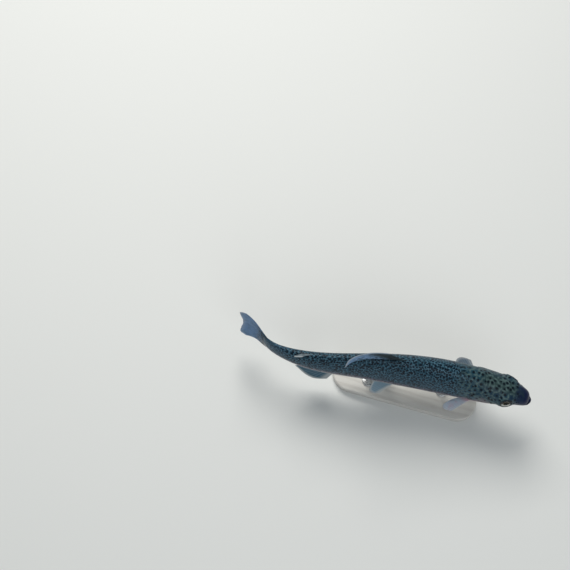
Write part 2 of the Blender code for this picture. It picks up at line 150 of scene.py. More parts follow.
@dataclass(frozen=True)
class Flesh:
    """The smooth form of the flesh, without its folds."""

    stations: tuple[Station, ...] = (
        Station(0.000, -0.0160, -0.0160, -0.0160, 0.0000, 0.95, 1.00),
        Station(0.003, -0.0038, -0.0235, -0.0150, 0.0100, 0.95, 1.00),
        Station(0.012, 0.0120, -0.0315, -0.0070, 0.0198, 0.92, 1.05),
        Station(0.030, 0.0268, -0.0385, 0.0020, 0.0276, 0.90, 1.12),
        Station(0.055, 0.0394, -0.0460, 0.0060, 0.0340, 0.88, 1.15),
        Station(0.085, 0.0520, -0.0545, 0.0050, 0.0448, 0.88, 1.12),
        Station(0.130, 0.0670, -0.0670, 0.0020, 0.0515, 0.92, 1.05),
        Station(0.170, 0.0770, -0.0770, -0.0020, 0.0530, 0.96, 1.00),
        Station(0.205, 0.0845, -0.0840, -0.0060, 0.0520, 1.00, 0.97),
        Station(0.250, 0.0920, -0.0920, -0.0080, 0.0520, 1.00, 0.95),
        Station(0.320, 0.0990, -0.1000, -0.0080, 0.0505, 1.02, 0.93),
        Station(0.400, 0.1010, -0.1020, -0.0070, 0.0465, 1.03, 0.93),
        Station(0.470, 0.0980, -0.1000, -0.0060, 0.0415, 1.05, 0.95),
        Station(0.550, 0.0900, -0.0910, -0.0040, 0.0350, 1.05, 0.97),
        Station(0.630, 0.0790, -0.0770, -0.0020, 0.0300, 1.05, 1.00),
        Station(0.700, 0.0680, -0.0640, 0.0000, 0.0265, 1.03, 1.00),
        Station(0.760, 0.0570, -0.0530, 0.0000, 0.0225, 1.00, 1.00),
        Station(0.810, 0.0490, -0.0460, 0.0000, 0.0175, 1.00, 1.00),
        Station(0.850, 0.0445, -0.0435, 0.0000, 0.0130, 1.00, 1.00),
        Station(0.880, 0.0445, -0.0440, 0.0000, 0.0095, 1.00, 1.00),
        Station(0.910, 0.0465, -0.0465, 0.0000, 0.0040, 1.00, 1.00),
    )
    headings: Table = (
        (0.00, -5.0), (0.08, -0.9), (0.20, 1.6), (0.28, 4.0), (0.37, 7.0), (0.58, 11.5),
        (0.66, 10.0), (0.77, 0.0), (0.85, -13.0), (0.92, -39.0), (0.96, -24.0), (1.00, -6.0),
    )  # share of the length, degrees from +X
    snout: Pair = (0.19752, -0.00378)  # tip of the snout in plan, in metres
    spine_height: float = 0.074  # in metres
    spine_steps: int = 400
    eye_at: float = 0.079
    eye_height: float = 0.0160
    orbit_rise: float = 0.0020  # swelling over the eyes, in metres
    orbit_reach: float = 0.0098  # in metres
    probe: Pair = (4e-4, 4e-3)  # steps along and round the flesh between which slopes are taken
    lie_grid: tuple[int, int] = (280, 161)  # rings, and points on half a ring, at which girths are taken
    lie_span: Pair = (1e-4, 0.93)

    def section(self, at: Values) -> list[Array]:
        """Reads the cross-section.

        Args:
            at: Shares of the length behind the snout.

        Returns:
            Top, bottom, widest place and half width in metres, then the powers of the crown and the keel.
        """
        root = np.sqrt(np.maximum(at, 0))
        places = [math.sqrt(station.at) for station in self.stations]
        read = [smooth_table(places, column, root) for column in list(zip(*self.stations))[1:]]
        return [value * LENGTH for value in read[:4]] + read[4:]

    def orbit(self, at: Values, z: Values) -> Values:
        """Metres by which the flesh swells over the eyes, at shares of the length and heights in metres."""
        away = np.hypot((at - self.eye_at) * LENGTH, z - self.eye_height * LENGTH)
        return self.orbit_rise * bell(away, self.orbit_reach)

    def point(self, at: Values, angle: Values, grow: Values = 0.0) -> Array:
        """Finds points on the flesh in spine space.

        Args:
            at: Shares of the length behind the snout.
            angle: Radians round the body.
            grow: How far outside the flesh, in metres.

        Returns:
            Points, with the three coordinates on the last axis.
        """
        at, angle = np.broadcast_arrays(np.asarray(at, float), np.asarray(angle, float))
        top, bottom, widest, half_width, crown, keel = self.section(at)
        side, height = np.sin(angle), np.cos(angle)
        upper = height > 0
        reach = np.where(upper, top - widest, widest - bottom)
        z = widest + height * (reach + grow)
        width = half_width + grow + self.orbit(at, z)
        y = np.sign(side) * np.abs(side) ** np.where(upper, crown, keel) * width
        return np.stack([at * LENGTH, y, z], -1)

    def normal(self, at: Array, angle: Array) -> Array:
        """Finds directions out of the flesh in spine space.

        Args:
            at: Shares of the length behind the snout.
            angle: Radians round the body.

        Returns:
            Unit vectors on the last axis.
        """
        ahead, behind = np.maximum(at - self.probe[0], 1e-5), at + self.probe[0]
        along = self.point(behind, angle) - self.point(ahead, angle)
        round_it = self.point(at, angle + self.probe[1]) - self.point(at, angle - self.probe[1])
        out = np.cross(along, round_it)
        return out / np.maximum(np.linalg.norm(out, axis=-1, keepdims=True), 1e-12)

    def heading(self, at: Values) -> Array:
        """The way the spine heads in plan at shares of the length, in radians."""
        return np.radians(smooth_table(*zip(*self.headings), at))

    def spine(self) -> Array:
        """Lays out the curved spine.

        Returns:
            Plan positions from the snout back, one for each step.
        """
        heading = self.heading((np.arange(self.spine_steps) + 0.5) / self.spine_steps)
        moves = -LENGTH / self.spine_steps * np.stack([np.cos(heading), np.sin(heading)], -1)
        return np.vstack([self.snout, np.array(self.snout) + np.cumsum(moves, 0)])

    def bend(self, points: Array) -> Array:
        """Carries points of spine space to their places round the curved spine.

        Args:
            points: Places in spine space.

        Returns:
            Places in the frame.
        """
        spine = self.spine()
        along = points[..., 0] / LENGTH * self.spine_steps
        index = np.clip(along.astype(int), 0, self.spine_steps - 1)
        part = (along - index)[..., None]
        place = spine[index] * (1 - part) + spine[index + 1] * part
        heading = self.heading(points[..., 0] / LENGTH)
        x = place[..., 0] - np.sin(heading) * points[..., 1]
        y = place[..., 1] + np.cos(heading) * points[..., 1]
        return np.stack([x, y, self.spine_height + points[..., 2]], -1)

    def lie(self, at: Array, angle: Array) -> Array:
        """Finds where points lie on the flesh, for markings that follow it.

        Args:
            at: Shares of the length behind the snout.
            angle: Radians round the body.

        Returns:
            Metres behind the snout, metres round from the back (left is positive), and the share of the way
            round from the back to the belly.
        """
        rows = np.linspace(*self.lie_span, self.lie_grid[0])
        columns = np.linspace(0, math.pi, self.lie_grid[1])
        grid = self.point(rows[:, None], columns[None, :])
        pieces = np.linalg.norm(np.diff(grid, axis=1), axis=-1)
        arcs = np.concatenate([np.zeros((len(rows), 1)), np.cumsum(pieces, 1)], 1)
        turn = np.mod(angle, TURN)
        left = turn <= math.pi
        half_turn = np.where(left, turn, TURN - turn)
        i = np.clip(np.asarray(at, float) - rows[0], 0, None) / (rows[1] - rows[0])
        j = half_turn / (columns[1] - columns[0])
        i0 = np.clip(i.astype(int), 0, len(rows) - 2)
        j0 = np.clip(j.astype(int), 0, len(columns) - 2)
        fi, fj = np.clip(i - i0, 0, 1), np.clip(j - j0, 0, 1)
        arc = (arcs[i0, j0] * (1 - fj) + arcs[i0, j0 + 1] * fj) * (1 - fi)
        arc += (arcs[i0 + 1, j0] * (1 - fj) + arcs[i0 + 1, j0 + 1] * fj) * fi
        return np.stack([at * LENGTH, np.where(left, arc, -arc), half_turn / math.pi], -1)


FLESH = Flesh()


class Side(Enum):
    """The two sides of the fish, as the sign of y there."""

    LEFT = 1
    RIGHT = -1


@dataclass(frozen=True)
class EyeForm:
    """Size and set of the eyeballs. Lengths are in metres."""

    radius: float = 0.0080
    flatten: float = 0.53  # depth along its axis beside its width
    stands_out: float = 0.0014
    opening: float = 0.0068  # radius of what shows
    probe: float = 0.002  # share of the length between which the slopes of the head are taken

    @staticmethod
    def side_width(at: float, height: float) -> float:
        """Half width of the head at a share of the length and a height above the spine, in metres.

        Args:
            at: Share of the length behind the snout.
            height: Share of the length above the spine.

        Returns:
            The half width.
        """
        top, bottom, widest, half_width, crown, keel = FLESH.section(at)
        z = height * LENGTH
        reach, power = (top - widest, crown) if z > widest else (widest - bottom, keel)
        cosine = (z - widest) / reach
        return float((half_width + FLESH.orbit(at, z)) * np.sqrt(1 - cosine * cosine) ** power)

    def axis(self, side: Side) -> Array:
        """The way an eye looks in spine space.

        Args:
            side: Which eye.

        Returns:
            A unit vector square to the side of the head.
        """
        step, at, up = self.probe, FLESH.eye_at, FLESH.eye_height
        slope_back = self.side_width(at + step, up) - self.side_width(at - step, up)
        slope_up = self.side_width(at, up + step) - self.side_width(at, up - step)
        run = 2 * step * LENGTH
        axis = np.array((-slope_back / run, side.value, -slope_up / run))
        return axis / np.linalg.norm(axis)

    def centre(self, side: Side) -> Array:
        """Finds the centre of an eyeball.

        Args:
            side: Which eye.

        Returns:
            Its place in spine space.
        """
        across = side.value * self.side_width(FLESH.eye_at, FLESH.eye_height)
        surface = np.array((FLESH.eye_at * LENGTH, across, FLESH.eye_height * LENGTH))
        return surface + self.axis(side) * (self.stands_out - self.radius * self.flatten)

    def level(self) -> float:
        """Height of the rim of the opening over the eyeball's centre, along its axis."""
        return self.radius * self.flatten * math.sqrt(1 - (self.opening / self.radius) ** 2)

    def about(self, points: Array, side: Side) -> tuple[Array, Array, Array, Array]:
        """Finds where points lie about an eye.

        Args:
            points: Places in spine space.
            side: Which eye.

        Returns:
            How far out along the eye's axis, how far from that axis and how far above the eye's centre they
            are, in metres, and whether they are on its side of the head.
        """
        axis, away = self.axis(side), points - self.centre(side)
        deep = away @ axis
        radius = np.linalg.norm(away - deep[..., None] * axis, axis=-1)
        return deep, radius, away[..., 2], side.value * points[..., 1] > 0


EYE = EyeForm()


@dataclass(frozen=True)
class HeadRelief:
    """Folds and plates of the head, as heights along the skin's normal. Sizes are in metres."""

    mouth_line: Table = ((0.0, -0.0150), (0.030, -0.0195), (0.065, -0.0265), (0.100, -0.0360))  # shares
    mouth_end: float = 0.0390
    mouth_depth: float = 0.0017
    mouth_width: float = 0.00062
    plate_rise: float = 0.00062  # of the plate along the upper jaw
    plate_tall: Pair = (0.0020, 0.0032)  # its height in front, and how much more it has behind
    plate_end: float = 0.0052  # radius of its round hind end
    groove: float = 0.00028  # over the plate
    lip_rise: float = 0.00050
    jaw_furrow: float = 0.00030  # along the lower jaw
    upper_lip_back: float = 0.0022  # how far the upper jaw ends behind the lower
    brow: float = 2.4  # how much higher the rim stands over the top of an eye
    rim_rise: float = 0.00026
    socket_depth: float = 0.0034
    socket_furrow: float = 0.00030  # round the rim
    nostrils: Table = ((0.0166, 0.0053), (0.0190, 0.0062))
    nostril_radius: float = 0.0011
    nostril_depth: float = 0.0015
    nostril_rim: float = 0.00022
    flap_rise: float = 0.00060  # of the skin between the two openings
    cheek_centre: Pair = (0.0330, -0.0030)
    cheek_radius: float = 0.0185
    cheek_rise: float = 0.00034
    gill_edge_table: Table = (
        (0, 0.1700), (35, 0.1685), (50, 0.1705), (58, 0.1755), (64, 0.1848), (72, 0.1929),
        (80, 0.1970), (90, 0.1984), (100, 0.1973), (112, 0.1933), (124, 0.1873), (136, 0.1780),
        (148, 0.1650), (160, 0.1500), (170, 0.1350), (180, 0.1240),
    )  # degrees from the back, share of the length
    girth: float = 0.031  # mean radius of the body at the gills
    cover_rise: float = 0.00045
    cover_step: float = 0.00160
    cover_border: float = 0.00016
    cover_seam: float = 0.00026
    ray_rise: float = 0.00022  # of the folds under the gill cover
    ray_gap: float = 0.0023
    throat_fold: float = 0.00050

    def above_mouth(self, x: Array, z: Array) -> Array:
        """Metres above the line of the mouth."""
        return z - smooth_table(*zip(*self.mouth_line), x / LENGTH) * LENGTH

    def mouth(self, x: Array, z: Array) -> Array:
        """Models the slit of the mouth, the long plate of the upper jaw over it and the lip under it.

        Args:
            x: Metres behind the snout.
            z: Metres above the spine.

        Returns:
            Heights in metres.
        """
        end, above = self.mouth_end, self.above_mouth(x, z)
        slit = -self.mouth_depth * bell(above, self.mouth_width) * rise(x, end + 0.0010, end - 0.0010)
        tall = self.plate_tall[0] + self.plate_tall[1] * rise(x, 0.010, 0.034)
        paddle = np.sqrt(np.clip(1 - ((x - end + 0.0030) / self.plate_end) ** 2, 0, 1))
        tall = np.where(x > end - 0.0030, tall * paddle, tall)
        plate = plateau(above, -0.0002, 0.0005, tall - 0.0003, tall + 0.0003)
        plate *= rise(x, end + 0.0024, end + 0.0014)
        groove = -self.groove * bell(above - tall - 0.0006, 0.0005)
        groove *= plateau(x, 0.006, 0.012, end, end + 0.0020)
        lip = plateau(above, -0.0032, -0.0022, -0.0007, -0.0002) * rise(x, end + 0.001, end - 0.006)
        furrow = -self.jaw_furrow * bell(above + 0.0060 + 0.04 * x, 0.0006)
        furrow *= plateau(x, 0.009, 0.016, 0.042, 0.050)
        step = -self.upper_lip_back * rise(above, -0.0001, 0.0008) * bell(x, 0.0048)
        behind_tip = rise(x, 0.0005, 0.0030)
        return behind_tip * (slit + self.plate_rise * plate + groove + self.lip_rise * lip + furrow) + step

    def sockets(self, points: Array) -> Array:
        """Models a round, level rim for each eye, and room behind it for the ball.

        Args:
            points: Places in spine space.

        Returns:
            Heights in metres.
        """
        height = np.zeros(points.shape[:-1])
        for side in Side:
            deep, radius, over, near = EYE.about(points, side)
            pull = near * rise(radius, 0.0145, EYE.opening + 0.0006)
            brow = 1 + self.brow * rise(over / np.maximum(radius, 1e-6), 0.10, 0.75)
            blunt = brow**0.5
            rim = self.rim_rise * brow * bell(radius - EYE.opening - 0.0009 * blunt, 0.0006 * blunt)
            hollow = -self.socket_depth * rise(radius, EYE.opening + 0.0001, EYE.opening - 0.0012)
            furrow = -self.socket_furrow * bell(radius - EYE.opening - 0.0031, 0.0008)
            furrow *= near * rise(radius, 0.0140, 0.0120)
            height += pull * (EYE.level() + rim + hollow - deep) + furrow
        return height

    def nose(self, x: Array, z: Array) -> Array:
        """Models two openings on each side of the snout, with a flap of skin between them.

        Args:
            x: Metres behind the snout.
            z: Metres above the spine.

        Returns:
            Heights in metres.
        """
        height = np.zeros(x.shape)
        for px, pz in self.nostrils:
            away = np.hypot(x - px, z - pz)
            height += self.nostril_rim * bell(away - 0.0012, 0.0005)
            height -= self.nostril_depth * rise(away, self.nostril_radius, 0.0004)
        flap_x, flap_z = np.mean(self.nostrils, 0)
        return height + self.flap_rise * bell(x - flap_x, 0.00040) * bell(z - flap_z, 0.0010)

    def gill_edge(self, angle: Values) -> Array:
        """Share of the length at which the edge of the gill cover lies."""
        return smooth_table(*zip(*self.gill_edge_table), from_back(angle))

    def cheek_edge(self) -> float:
        """Share of the length at which the gill cover ends halfway up the side."""
        return float(self.gill_edge(math.pi / 2))

    def past_gills(self, at: Array, angle: Array) -> Array:
        """Measures how far points are behind the edge of the gill cover, square to it.

        Args:
            at: Shares of the length behind the snout.
            angle: Radians round the body.

        Returns:
            Metres, negative on the cover.
        """
        probe = 0.02
        run = self.gill_edge(angle + probe) - self.gill_edge(angle - probe)
        slope = run / (2 * probe) * LENGTH / self.girth
        return (at - self.gill_edge(angle)) * LENGTH / np.hypot(1, slope)

    def gills(self, at: Array, angle: Array, points: Array) -> Array:
        """Models the gill cover's free hind edge, the seam across it, the cheek's edge and the folds below.

        Args:
            at: Shares of the length behind the snout.
            angle: Radians round the body.
            points: The same places in spine space.

        Returns:
            Heights in metres.
        """
        x, y, z = points[..., 0], points[..., 1], points[..., 2]
        past, folded = self.past_gills(at, angle), from_back(angle)
        free = rise(folded, 50, 63) * (1 - 0.45 * rise(folded, 168, 180))
        cover = self.cover_rise * bell(np.minimum(past, 0), 0.0050) * (past <= 1e-5)
        shoulder = -self.cover_step * bell(np.maximum(past, 0), 0.0042) * (past > 1e-5)
        height = free * (cover + shoulder - self.cover_border * bell(past + 0.0022, 0.0007))
        seam = bell(z + 0.0105 + 0.20 * (x - 0.050), 0.0006)
        height -= self.cover_seam * seam * rise(x, 0.050, 0.0525) * rise(past, -0.0020, -0.0034)
        cheek = np.hypot(x - self.cheek_centre[0], z - self.cheek_centre[1]) - self.cheek_radius
        arc = rise(x, self.cheek_centre[0] + 0.002, self.cheek_centre[0] + 0.010) * rise(z, 0.010, 0.004)
        height += arc * self.cheek_rise * bell(np.minimum(cheek, 0), 0.0030) * (cheek <= 0)
        height -= arc * self.cheek_rise * bell(np.maximum(cheek, 0), 0.0011) * (cheek > 0)
        rays = rise(folded, 132, 144) * plateau(past, -0.0170, -0.0140, -0.0030, -0.0012)
        height += self.ray_rise * np.cos(past * TURN / self.ray_gap) * rays
        middle = rise(folded, 168, 176) * rise(x, 0.010, 0.018) * rise(past, -0.0010, -0.0040)
        return height - self.throat_fold * bell(y, 0.0010) * middle

    def height(self, at: Array, angle: Array, points: Array) -> Array:
        """Adds up all of the relief.

        Args:
            at: Shares of the length behind the snout.
            angle: Radians round the body.
            points: The same places in spine space.

        Returns:
            Heights in metres.
        """
        x, z = points[..., 0], points[..., 2]
        return self.mouth(x, z) + self.sockets(points) + self.nose(x, z) + self.gills(at, angle, points)

    def shade(self, at: Array, angle: Array, points: Array) -> Array:
        """Paints shade into the folds: the mouth, the nostrils, the eyes' rims (reaching further above each
        eye, as the brow's shadow) and the gill slit.

        Args:
            at: Shares of the length behind the snout.
            angle: Radians round the body.
            points: The same places in spine space.

        Returns:
            Darkness of the painted shade, from 0 to 1.
        """
        x, z = points[..., 0], points[..., 2]
        # Painted shade: dark in the mouth's slit, the nostril pits, round each eye (further above it, as the
        # brow's shadow) and along the gill slit.
        dark = bell(self.above_mouth(x, z), 0.00065)
        dark *= rise(x, self.mouth_end + 0.0008, self.mouth_end - 0.0012)
        for px, pz in self.nostrils:
            dark = np.maximum(dark, rise(np.hypot(x - px, z - pz), self.nostril_radius, 0.0006))
        for side in Side:
            _, radius, over, near = EYE.about(points, side)
            reach = EYE.opening + 0.0016 * rise(over, -0.001, 0.006)
            dark = np.maximum(dark, 0.9 * near * rise(radius, reach + 0.0014, reach))
        slit = 0.70 * bell(self.past_gills(at, angle) - 0.0001, 0.00045) * rise(from_back(angle), 55, 66)
        return np.maximum(dark, slit)


RELIEF = HeadRelief()


# Making and shaping meshes
# -------


class Element(Enum):
    """What can be selected in edit mode."""

    VERT = "verts"
    EDGE = "edges"
    FACE = "faces"


class Bench:
    """Modelling steps that every piece shares."""

    @staticmethod
    def clear_selection() -> None:
        """Leaves nothing selected and no object active."""
        if bpy.context.object and bpy.context.object.mode != "OBJECT":
            bpy.ops.object.mode_set(mode="OBJECT")
        bpy.ops.object.select_all(action="DESELECT")
        bpy.context.view_layer.objects.active = None

    @staticmethod
    def take(piece: Piece) -> None:
        """Selects one object alone and makes it active."""
        Bench.clear_selection()
        piece.select_set(True)
        bpy.context.view_layer.objects.active = piece

    @staticmethod
    @contextmanager
    def editing(piece: Piece) -> Iterator[None]:
        """Opens a piece in edit mode with all of it selected, and closes it again.

        Args:
            piece: The piece.

        Returns:
            Nothing to hold, while it is open.
        """
        Bench.take(piece)
        bpy.ops.object.mode_set(mode="EDIT")
        bpy.ops.mesh.select_all(action="SELECT")
        yield
        bpy.ops.object.mode_set(mode="OBJECT")

    @staticmethod
    def named(name: str) -> Piece:
        """Names the object that an operator has just added.

        Args:
            name: Its name.

        Returns:
            The object.
        """
        piece = bpy.context.object
        piece.name = name
        piece.data.name = name
        return piece

    @staticmethod
    def settle(piece: Piece) -> None:
        """Puts an object's place, turn and size into its mesh."""
        Bench.take(piece)
        bpy.ops.object.transform_apply(location=True, rotation=True, scale=True)

    @staticmethod
    def select(piece: Piece, kind: Element, test: Callable[[Vector], bool]) -> None:
        """Selects vertices, edges or faces in edit mode by their place.

        Args:
            piece: The object in edit mode.
            kind: What to select.
            test: Says whether a vertex belongs. An edge or a face belongs if all its vertices do.
        """
        bpy.ops.mesh.select_mode(type=kind.name)
        bpy.ops.mesh.select_all(action="DESELECT")
        mesh = bmesh.from_edit_mesh(piece.data)
        chosen = {vertex for vertex in mesh.verts if test(vertex.co)}
        for item in getattr(mesh, kind.value):
            item.select = item in chosen if kind is Element.VERT else all(v in chosen for v in item.verts)
        mesh.select_flush_mode()
        bmesh.update_edit_mesh(piece.data)

    @staticmethod
    def places(piece: Piece) -> Array:
        """Reads where each vertex of a piece is.

        Args:
            piece: The piece.

        Returns:
            One row of three numbers for each.
        """
        flat = np.empty(len(piece.data.vertices) * 3)
        piece.data.vertices.foreach_get("co", flat)
        return flat.reshape(-1, 3)

    @staticmethod
    def sheet(name: str, across: int, along: int) -> tuple[Piece, Array, Array]:
        """Adds a flat grid to be shaped.

        Args:
            name: The piece's name.
            across: Faces along u.
            along: Faces along v.

        Returns:
            The object, and u and v of each of its vertices, counted in faces.
        """
        Bench.clear_selection()
        bpy.ops.mesh.primitive_grid_add(x_subdivisions=across, y_subdivisions=along, size=1)
        piece = Bench.named(name)
        x, y, _ = Bench.places(piece).T
        return piece, np.round((x + 0.5) * across).astype(int), np.round((y + 0.5) * along).astype(int)

    @staticmethod
    def shape(piece: Piece, places: Array) -> None:
        """Moves every vertex to its place."""
        piece.data.vertices.foreach_set("co", np.ascontiguousarray(places, np.float32).ravel())
        piece.data.update()

    @staticmethod
    def face_out() -> None:
        """Turns all faces of the piece in edit mode out."""
        bpy.ops.mesh.select_all(action="SELECT")
        bpy.ops.mesh.normals_make_consistent(inside=False)

    @staticmethod
    def close(piece: Piece, reach: float = 1e-6, thin: float = 1e-7) -> None:
        """Joins vertices that meet and turns the faces out.

        Args:
            piece: The piece.
            reach: How near vertices are joined, in metres.
            thin: Length under which an edge goes, in metres.
        """
        with Bench.editing(piece):
            bpy.ops.mesh.remove_doubles(threshold=reach)
            bpy.ops.mesh.dissolve_degenerate(threshold=thin)
            bpy.ops.mesh.normals_make_consistent(inside=False)

    @staticmethod
    def soften(piece: Piece, degrees: float = 180.0) -> None:
        """Shades a piece smooth.

        Args:
            piece: The object.
            degrees: Edges sharper than this stay sharp.
        """
        Bench.take(piece)
        if degrees >= 180:
            bpy.ops.object.shade_smooth()
        else:
            bpy.ops.object.shade_smooth_by_angle(angle=math.radians(degrees))

    @staticmethod
    def note(piece: Piece, name: str, values: Array) -> None:
        """Keeps a vector or a number for each vertex, for the finish to read.

        Args:
            piece: The piece.
            name: Name under which it is kept.
            values: One row or number for each vertex.
        """
        kind, slot = ("FLOAT_VECTOR", "vector") if values.ndim == 2 else ("FLOAT", "value")
        layer = piece.data.attributes.new(name, kind, "POINT")
        layer.data.foreach_set(slot, values.astype(np.float32).ravel())

    @staticmethod
    def mount(piece: Piece, slot: str, *nodes: str) -> None:
        """Fixes a finished piece to the model and reports it.

        Args:
            piece: The piece.
            slot: Not used.
            nodes: The solids that it stands for.
        """
        if nodes:
            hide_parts(*nodes)
        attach(piece, BODY)
        faces = len(piece.data.polygons)
        log.info("%s: %d faces, stands for %s", piece.name, faces, ", ".join(nodes) or "itself")


# Finishes
# -------


class Feature(Enum):
    """What a pattern of cells tells: how far off its middle is, the same made soft, or its edge."""

    MIDDLE = "F1"
    SOFT_MIDDLE = "SMOOTH_F1"
    EDGE = "DISTANCE_TO_EDGE"


class Graph:
    """The nodes of one material, built in a few words."""

    def __init__(self, name: str) -> None:
        """Starts a material with one shader and its output."""
        self.material = bpy.data.materials.new(name)
        self.material.use_nodes = True
        self.tree = self.material.node_tree
        self.shader = self.tree.nodes["Principled BSDF"]

    def put(self, socket: Out, value: Socket) -> None:
        """Links a value to a socket, or sets it there.

        Args:
            socket: An input of a node.
            value: An output of a node, or a plain value. A colour may come without its opacity.
        """
        if isinstance(value, Out):
            self.tree.links.new(value, socket)
        elif isinstance(value, tuple) and len(value) == 3 and len(socket.default_value) == 4:
            socket.default_value = (*value, 1.0)
        else:
            socket.default_value = value

    def add(self, kind: str, inputs: dict[Union[str, int], Optional[Socket]], **options: str) -> Node:
        """Adds a node.

        Args:
            kind: Its type, without the words ShaderNode.
            inputs: Values or links by the names or numbers of its sockets. None leaves one as it is.
            options: Its own settings.

        Returns:
            The node.
        """
        node = self.tree.nodes.new("ShaderNode" + kind)
        for name, option in options.items():
            setattr(node, name, option)
        for name, value in inputs.items():
            if value is not None:
                self.put(node.inputs[name], value)
        return node

    def set(self, **values: Socket) -> None:
        """Sets or links the shader's own sockets, named with low lines for spaces."""
        for name, value in values.items():
            self.put(self.shader.inputs[name.replace("_", " ")], value)

    def wear(self, *pieces: Piece) -> None:
        """Puts the material on pieces.

        Args:
            pieces: The objects, which lose any other material.
        """
        for piece in pieces:
            piece.data.materials.clear()
            piece.data.materials.append(self.material)

    def sum(self, operation: str, *values: Socket) -> Out:
        """One step of arithmetic on numbers."""
        return self.add("Math", dict(enumerate(values)), operation=operation).outputs[0]

    def times(self, *values: Socket) -> Out:
        """The product of numbers."""
        return reduce(lambda a, b: self.sum("MULTIPLY", a, b), values)

    def plus(self, a: Socket, b: Socket) -> Out:
        """The sum of two numbers."""
        return self.sum("ADD", a, b)

    def less(self, a: Socket, b: Socket) -> Out:
        """The first number less the second."""
        return self.sum("SUBTRACT", a, b)

    def tuned(self, value: Socket, gain: float, offset: Socket) -> Out:
        """A number times a gain, plus an offset."""
        return self.sum("MULTIPLY_ADD", value, gain, offset)

    def vector(self, operation: str, *values: Socket) -> Out:
        """One step of arithmetic on vectors."""
        return self.add("VectorMath", dict(enumerate(values)), operation=operation).outputs["Vector"]

    def shift(self, vector: Socket, way: Socket, scale: float) -> Out:
        """A vector moved some way along another."""
        return self.vector("ADD", vector, self.vector("SCALE", way, None, None, scale))

    def away(self, vector: Socket, centre: Place) -> Out:
        """Distance from a vector to a fixed point."""
        return self.add("VectorMath", {0: vector, 1: centre}, operation="DISTANCE").outputs["Value"]

    def mix(self, share: Socket, a: Socket, b: Socket, blend: str = "MIX") -> Out:
        """A colour between two others."""
        return self.add("Mix", {0: share, 6: a, 7: b}, data_type="RGBA", blend_type=blend).outputs[2]

    def read(self, name: str) -> Out:
        """The vector kept on the mesh under a name."""
        return self.add("Attribute", {}, attribute_name=name).outputs["Vector"]

    def number(self, name: str) -> Out:
        """The number kept on the mesh under a name."""
        return self.add("Attribute", {}, attribute_name=name).outputs["Fac"]

    def place(self) -> Out:
        """The point's place on the object, in metres."""
        return self.add("TexCoord", {}).outputs["Object"]

    def split(self, vector: Socket) -> tuple[Out, ...]:
        """A vector's three numbers."""
        return tuple(self.add("SeparateXYZ", {0: vector}).outputs)

    def join(self, x: Socket, y: Socket, z: Socket = 0.0) -> Out:
        """A vector of three numbers."""
        return self.add("CombineXYZ", {0: x, 1: y, 2: z}).outputs[0]

    def step(self, value: Socket, low: float, high: float) -> Out:
        """Goes smoothly from 0 at low to 1 at high, or falls if high is the smaller.

        Args:
            value: The number to read.
            low: Where the result is 0.
            high: Where the result is 1.

        Returns:
            The result.
        """
        ends = (low, high, 0.0, 1.0) if low < high else (high, low, 1.0, 0.0)
        inputs = dict(zip(("Value", "From Min", "From Max", "To Min", "To Max"), (value, *ends)))
        return self.add("MapRange", inputs, interpolation_type="SMOOTHSTEP").outputs["Result"]

    def ramp(self, value: Socket, stops: Stops) -> Out:
        """Lays colours along a number.

        Args:
            value: The number, from 0 to 1.
            stops: Where each colour stands, rising.

        Returns:
            The colour.
        """
        node = self.add("ValToRGB", {0: value})
        elements = node.color_ramp.elements
        while len(elements) < len(stops):
            elements.new(0.5)
        for element, (place, colour) in zip(elements, stops):
            element.position = place
            element.color = (*colour, 1.0)
        return node.outputs[0]

    def noise(self, vector: Socket, scale: float, detail: float = 3.0, rough: float = 0.55) -> Node:
        """Cloudy noise, with outputs Fac and Color."""
        return self.add("TexNoise", {"Vector": vector, "Scale": scale, "Detail": detail, "Roughness": rough})

    def clouds(self, vector: Socket, scale: float, detail: float = 3.0, rough: float = 0.55) -> Out:
        """Cloudy noise as a number from 0 to 1."""
        return self.noise(vector, scale, detail, rough).outputs["Fac"]

    def cells(self, vector: Socket, scale: float, feature: Feature, random: float, space: str = "2D") -> Node:
        """Cells in a plane or in space, with outputs Distance and, for the middle, Color."""
        inputs = {"Vector": vector, "Scale": scale, "Randomness": random}
        return self.add("TexVoronoi", inputs, voronoi_dimensions=space, feature=feature.value)

    def net(self, vector: Socket, scale: float, random: float) -> tuple[Node, Out]:
        """Cells in a plane, and how far a point is from the edge of its cell."""
        edge = self.cells(vector, scale, Feature.EDGE, random).outputs["Distance"]
        return self.cells(vector, scale, Feature.MIDDLE, random), edge

    def bump(self, height: Socket, strength: float, distance: float, under: Optional[Socket] = None) -> Out:
        """A normal from heights, over another normal if one is given."""
        inputs = {"Strength": strength, "Distance": distance, "Height": height, "Normal": under}
        return self.add("Bump", inputs).outputs[0]

    def layer(self, share: Socket, under: Out, over: Out) -> None:
        """Shows two shaders mixed, in place of the one."""
        both = self.add("MixShader", {0: share, 1: under, 2: over})
        self.put(self.tree.nodes["Material Output"].inputs["Surface"], both.outputs[0])

    def clear(self, roughness: float, index: float) -> None:
        """Makes it see-through, with reflections that grow towards its edges.

        Args:
            roughness: Of the reflections.
            index: Of refraction, which sets their strength.
        """
        gain = self.add("Fresnel", {"IOR": index}).outputs[0]
        gloss = self.add("BsdfGlossy", {"Roughness": roughness}).outputs[0]
        self.layer(gain, self.add("BsdfTransparent", {}).outputs[0], gloss)

    def thin(self, share: float, colour: Socket) -> None:
        """Lets some light through, as a thin web does."""
        self.layer(share, self.shader.outputs[0], self.add("BsdfTranslucent", {"Color": colour}).outputs[0])


class Chart(NamedTuple):
    """Where a point lies on the fish, as values in a finish."""

    along: Out  # metres behind the snout
    arc: Out  # metres round from the back, left is positive
    turn: Out  # share of the way round from the back to the belly
    flat: Out  # along and arc as a vector
    drawn: Out  # the same drawn out of place by noise, so that spots aren't round
    soft: Out  # the same, less drawn
    patches: Out  # cloudy noise
    rear: Out  # metres behind the snout, made uneven by the patches


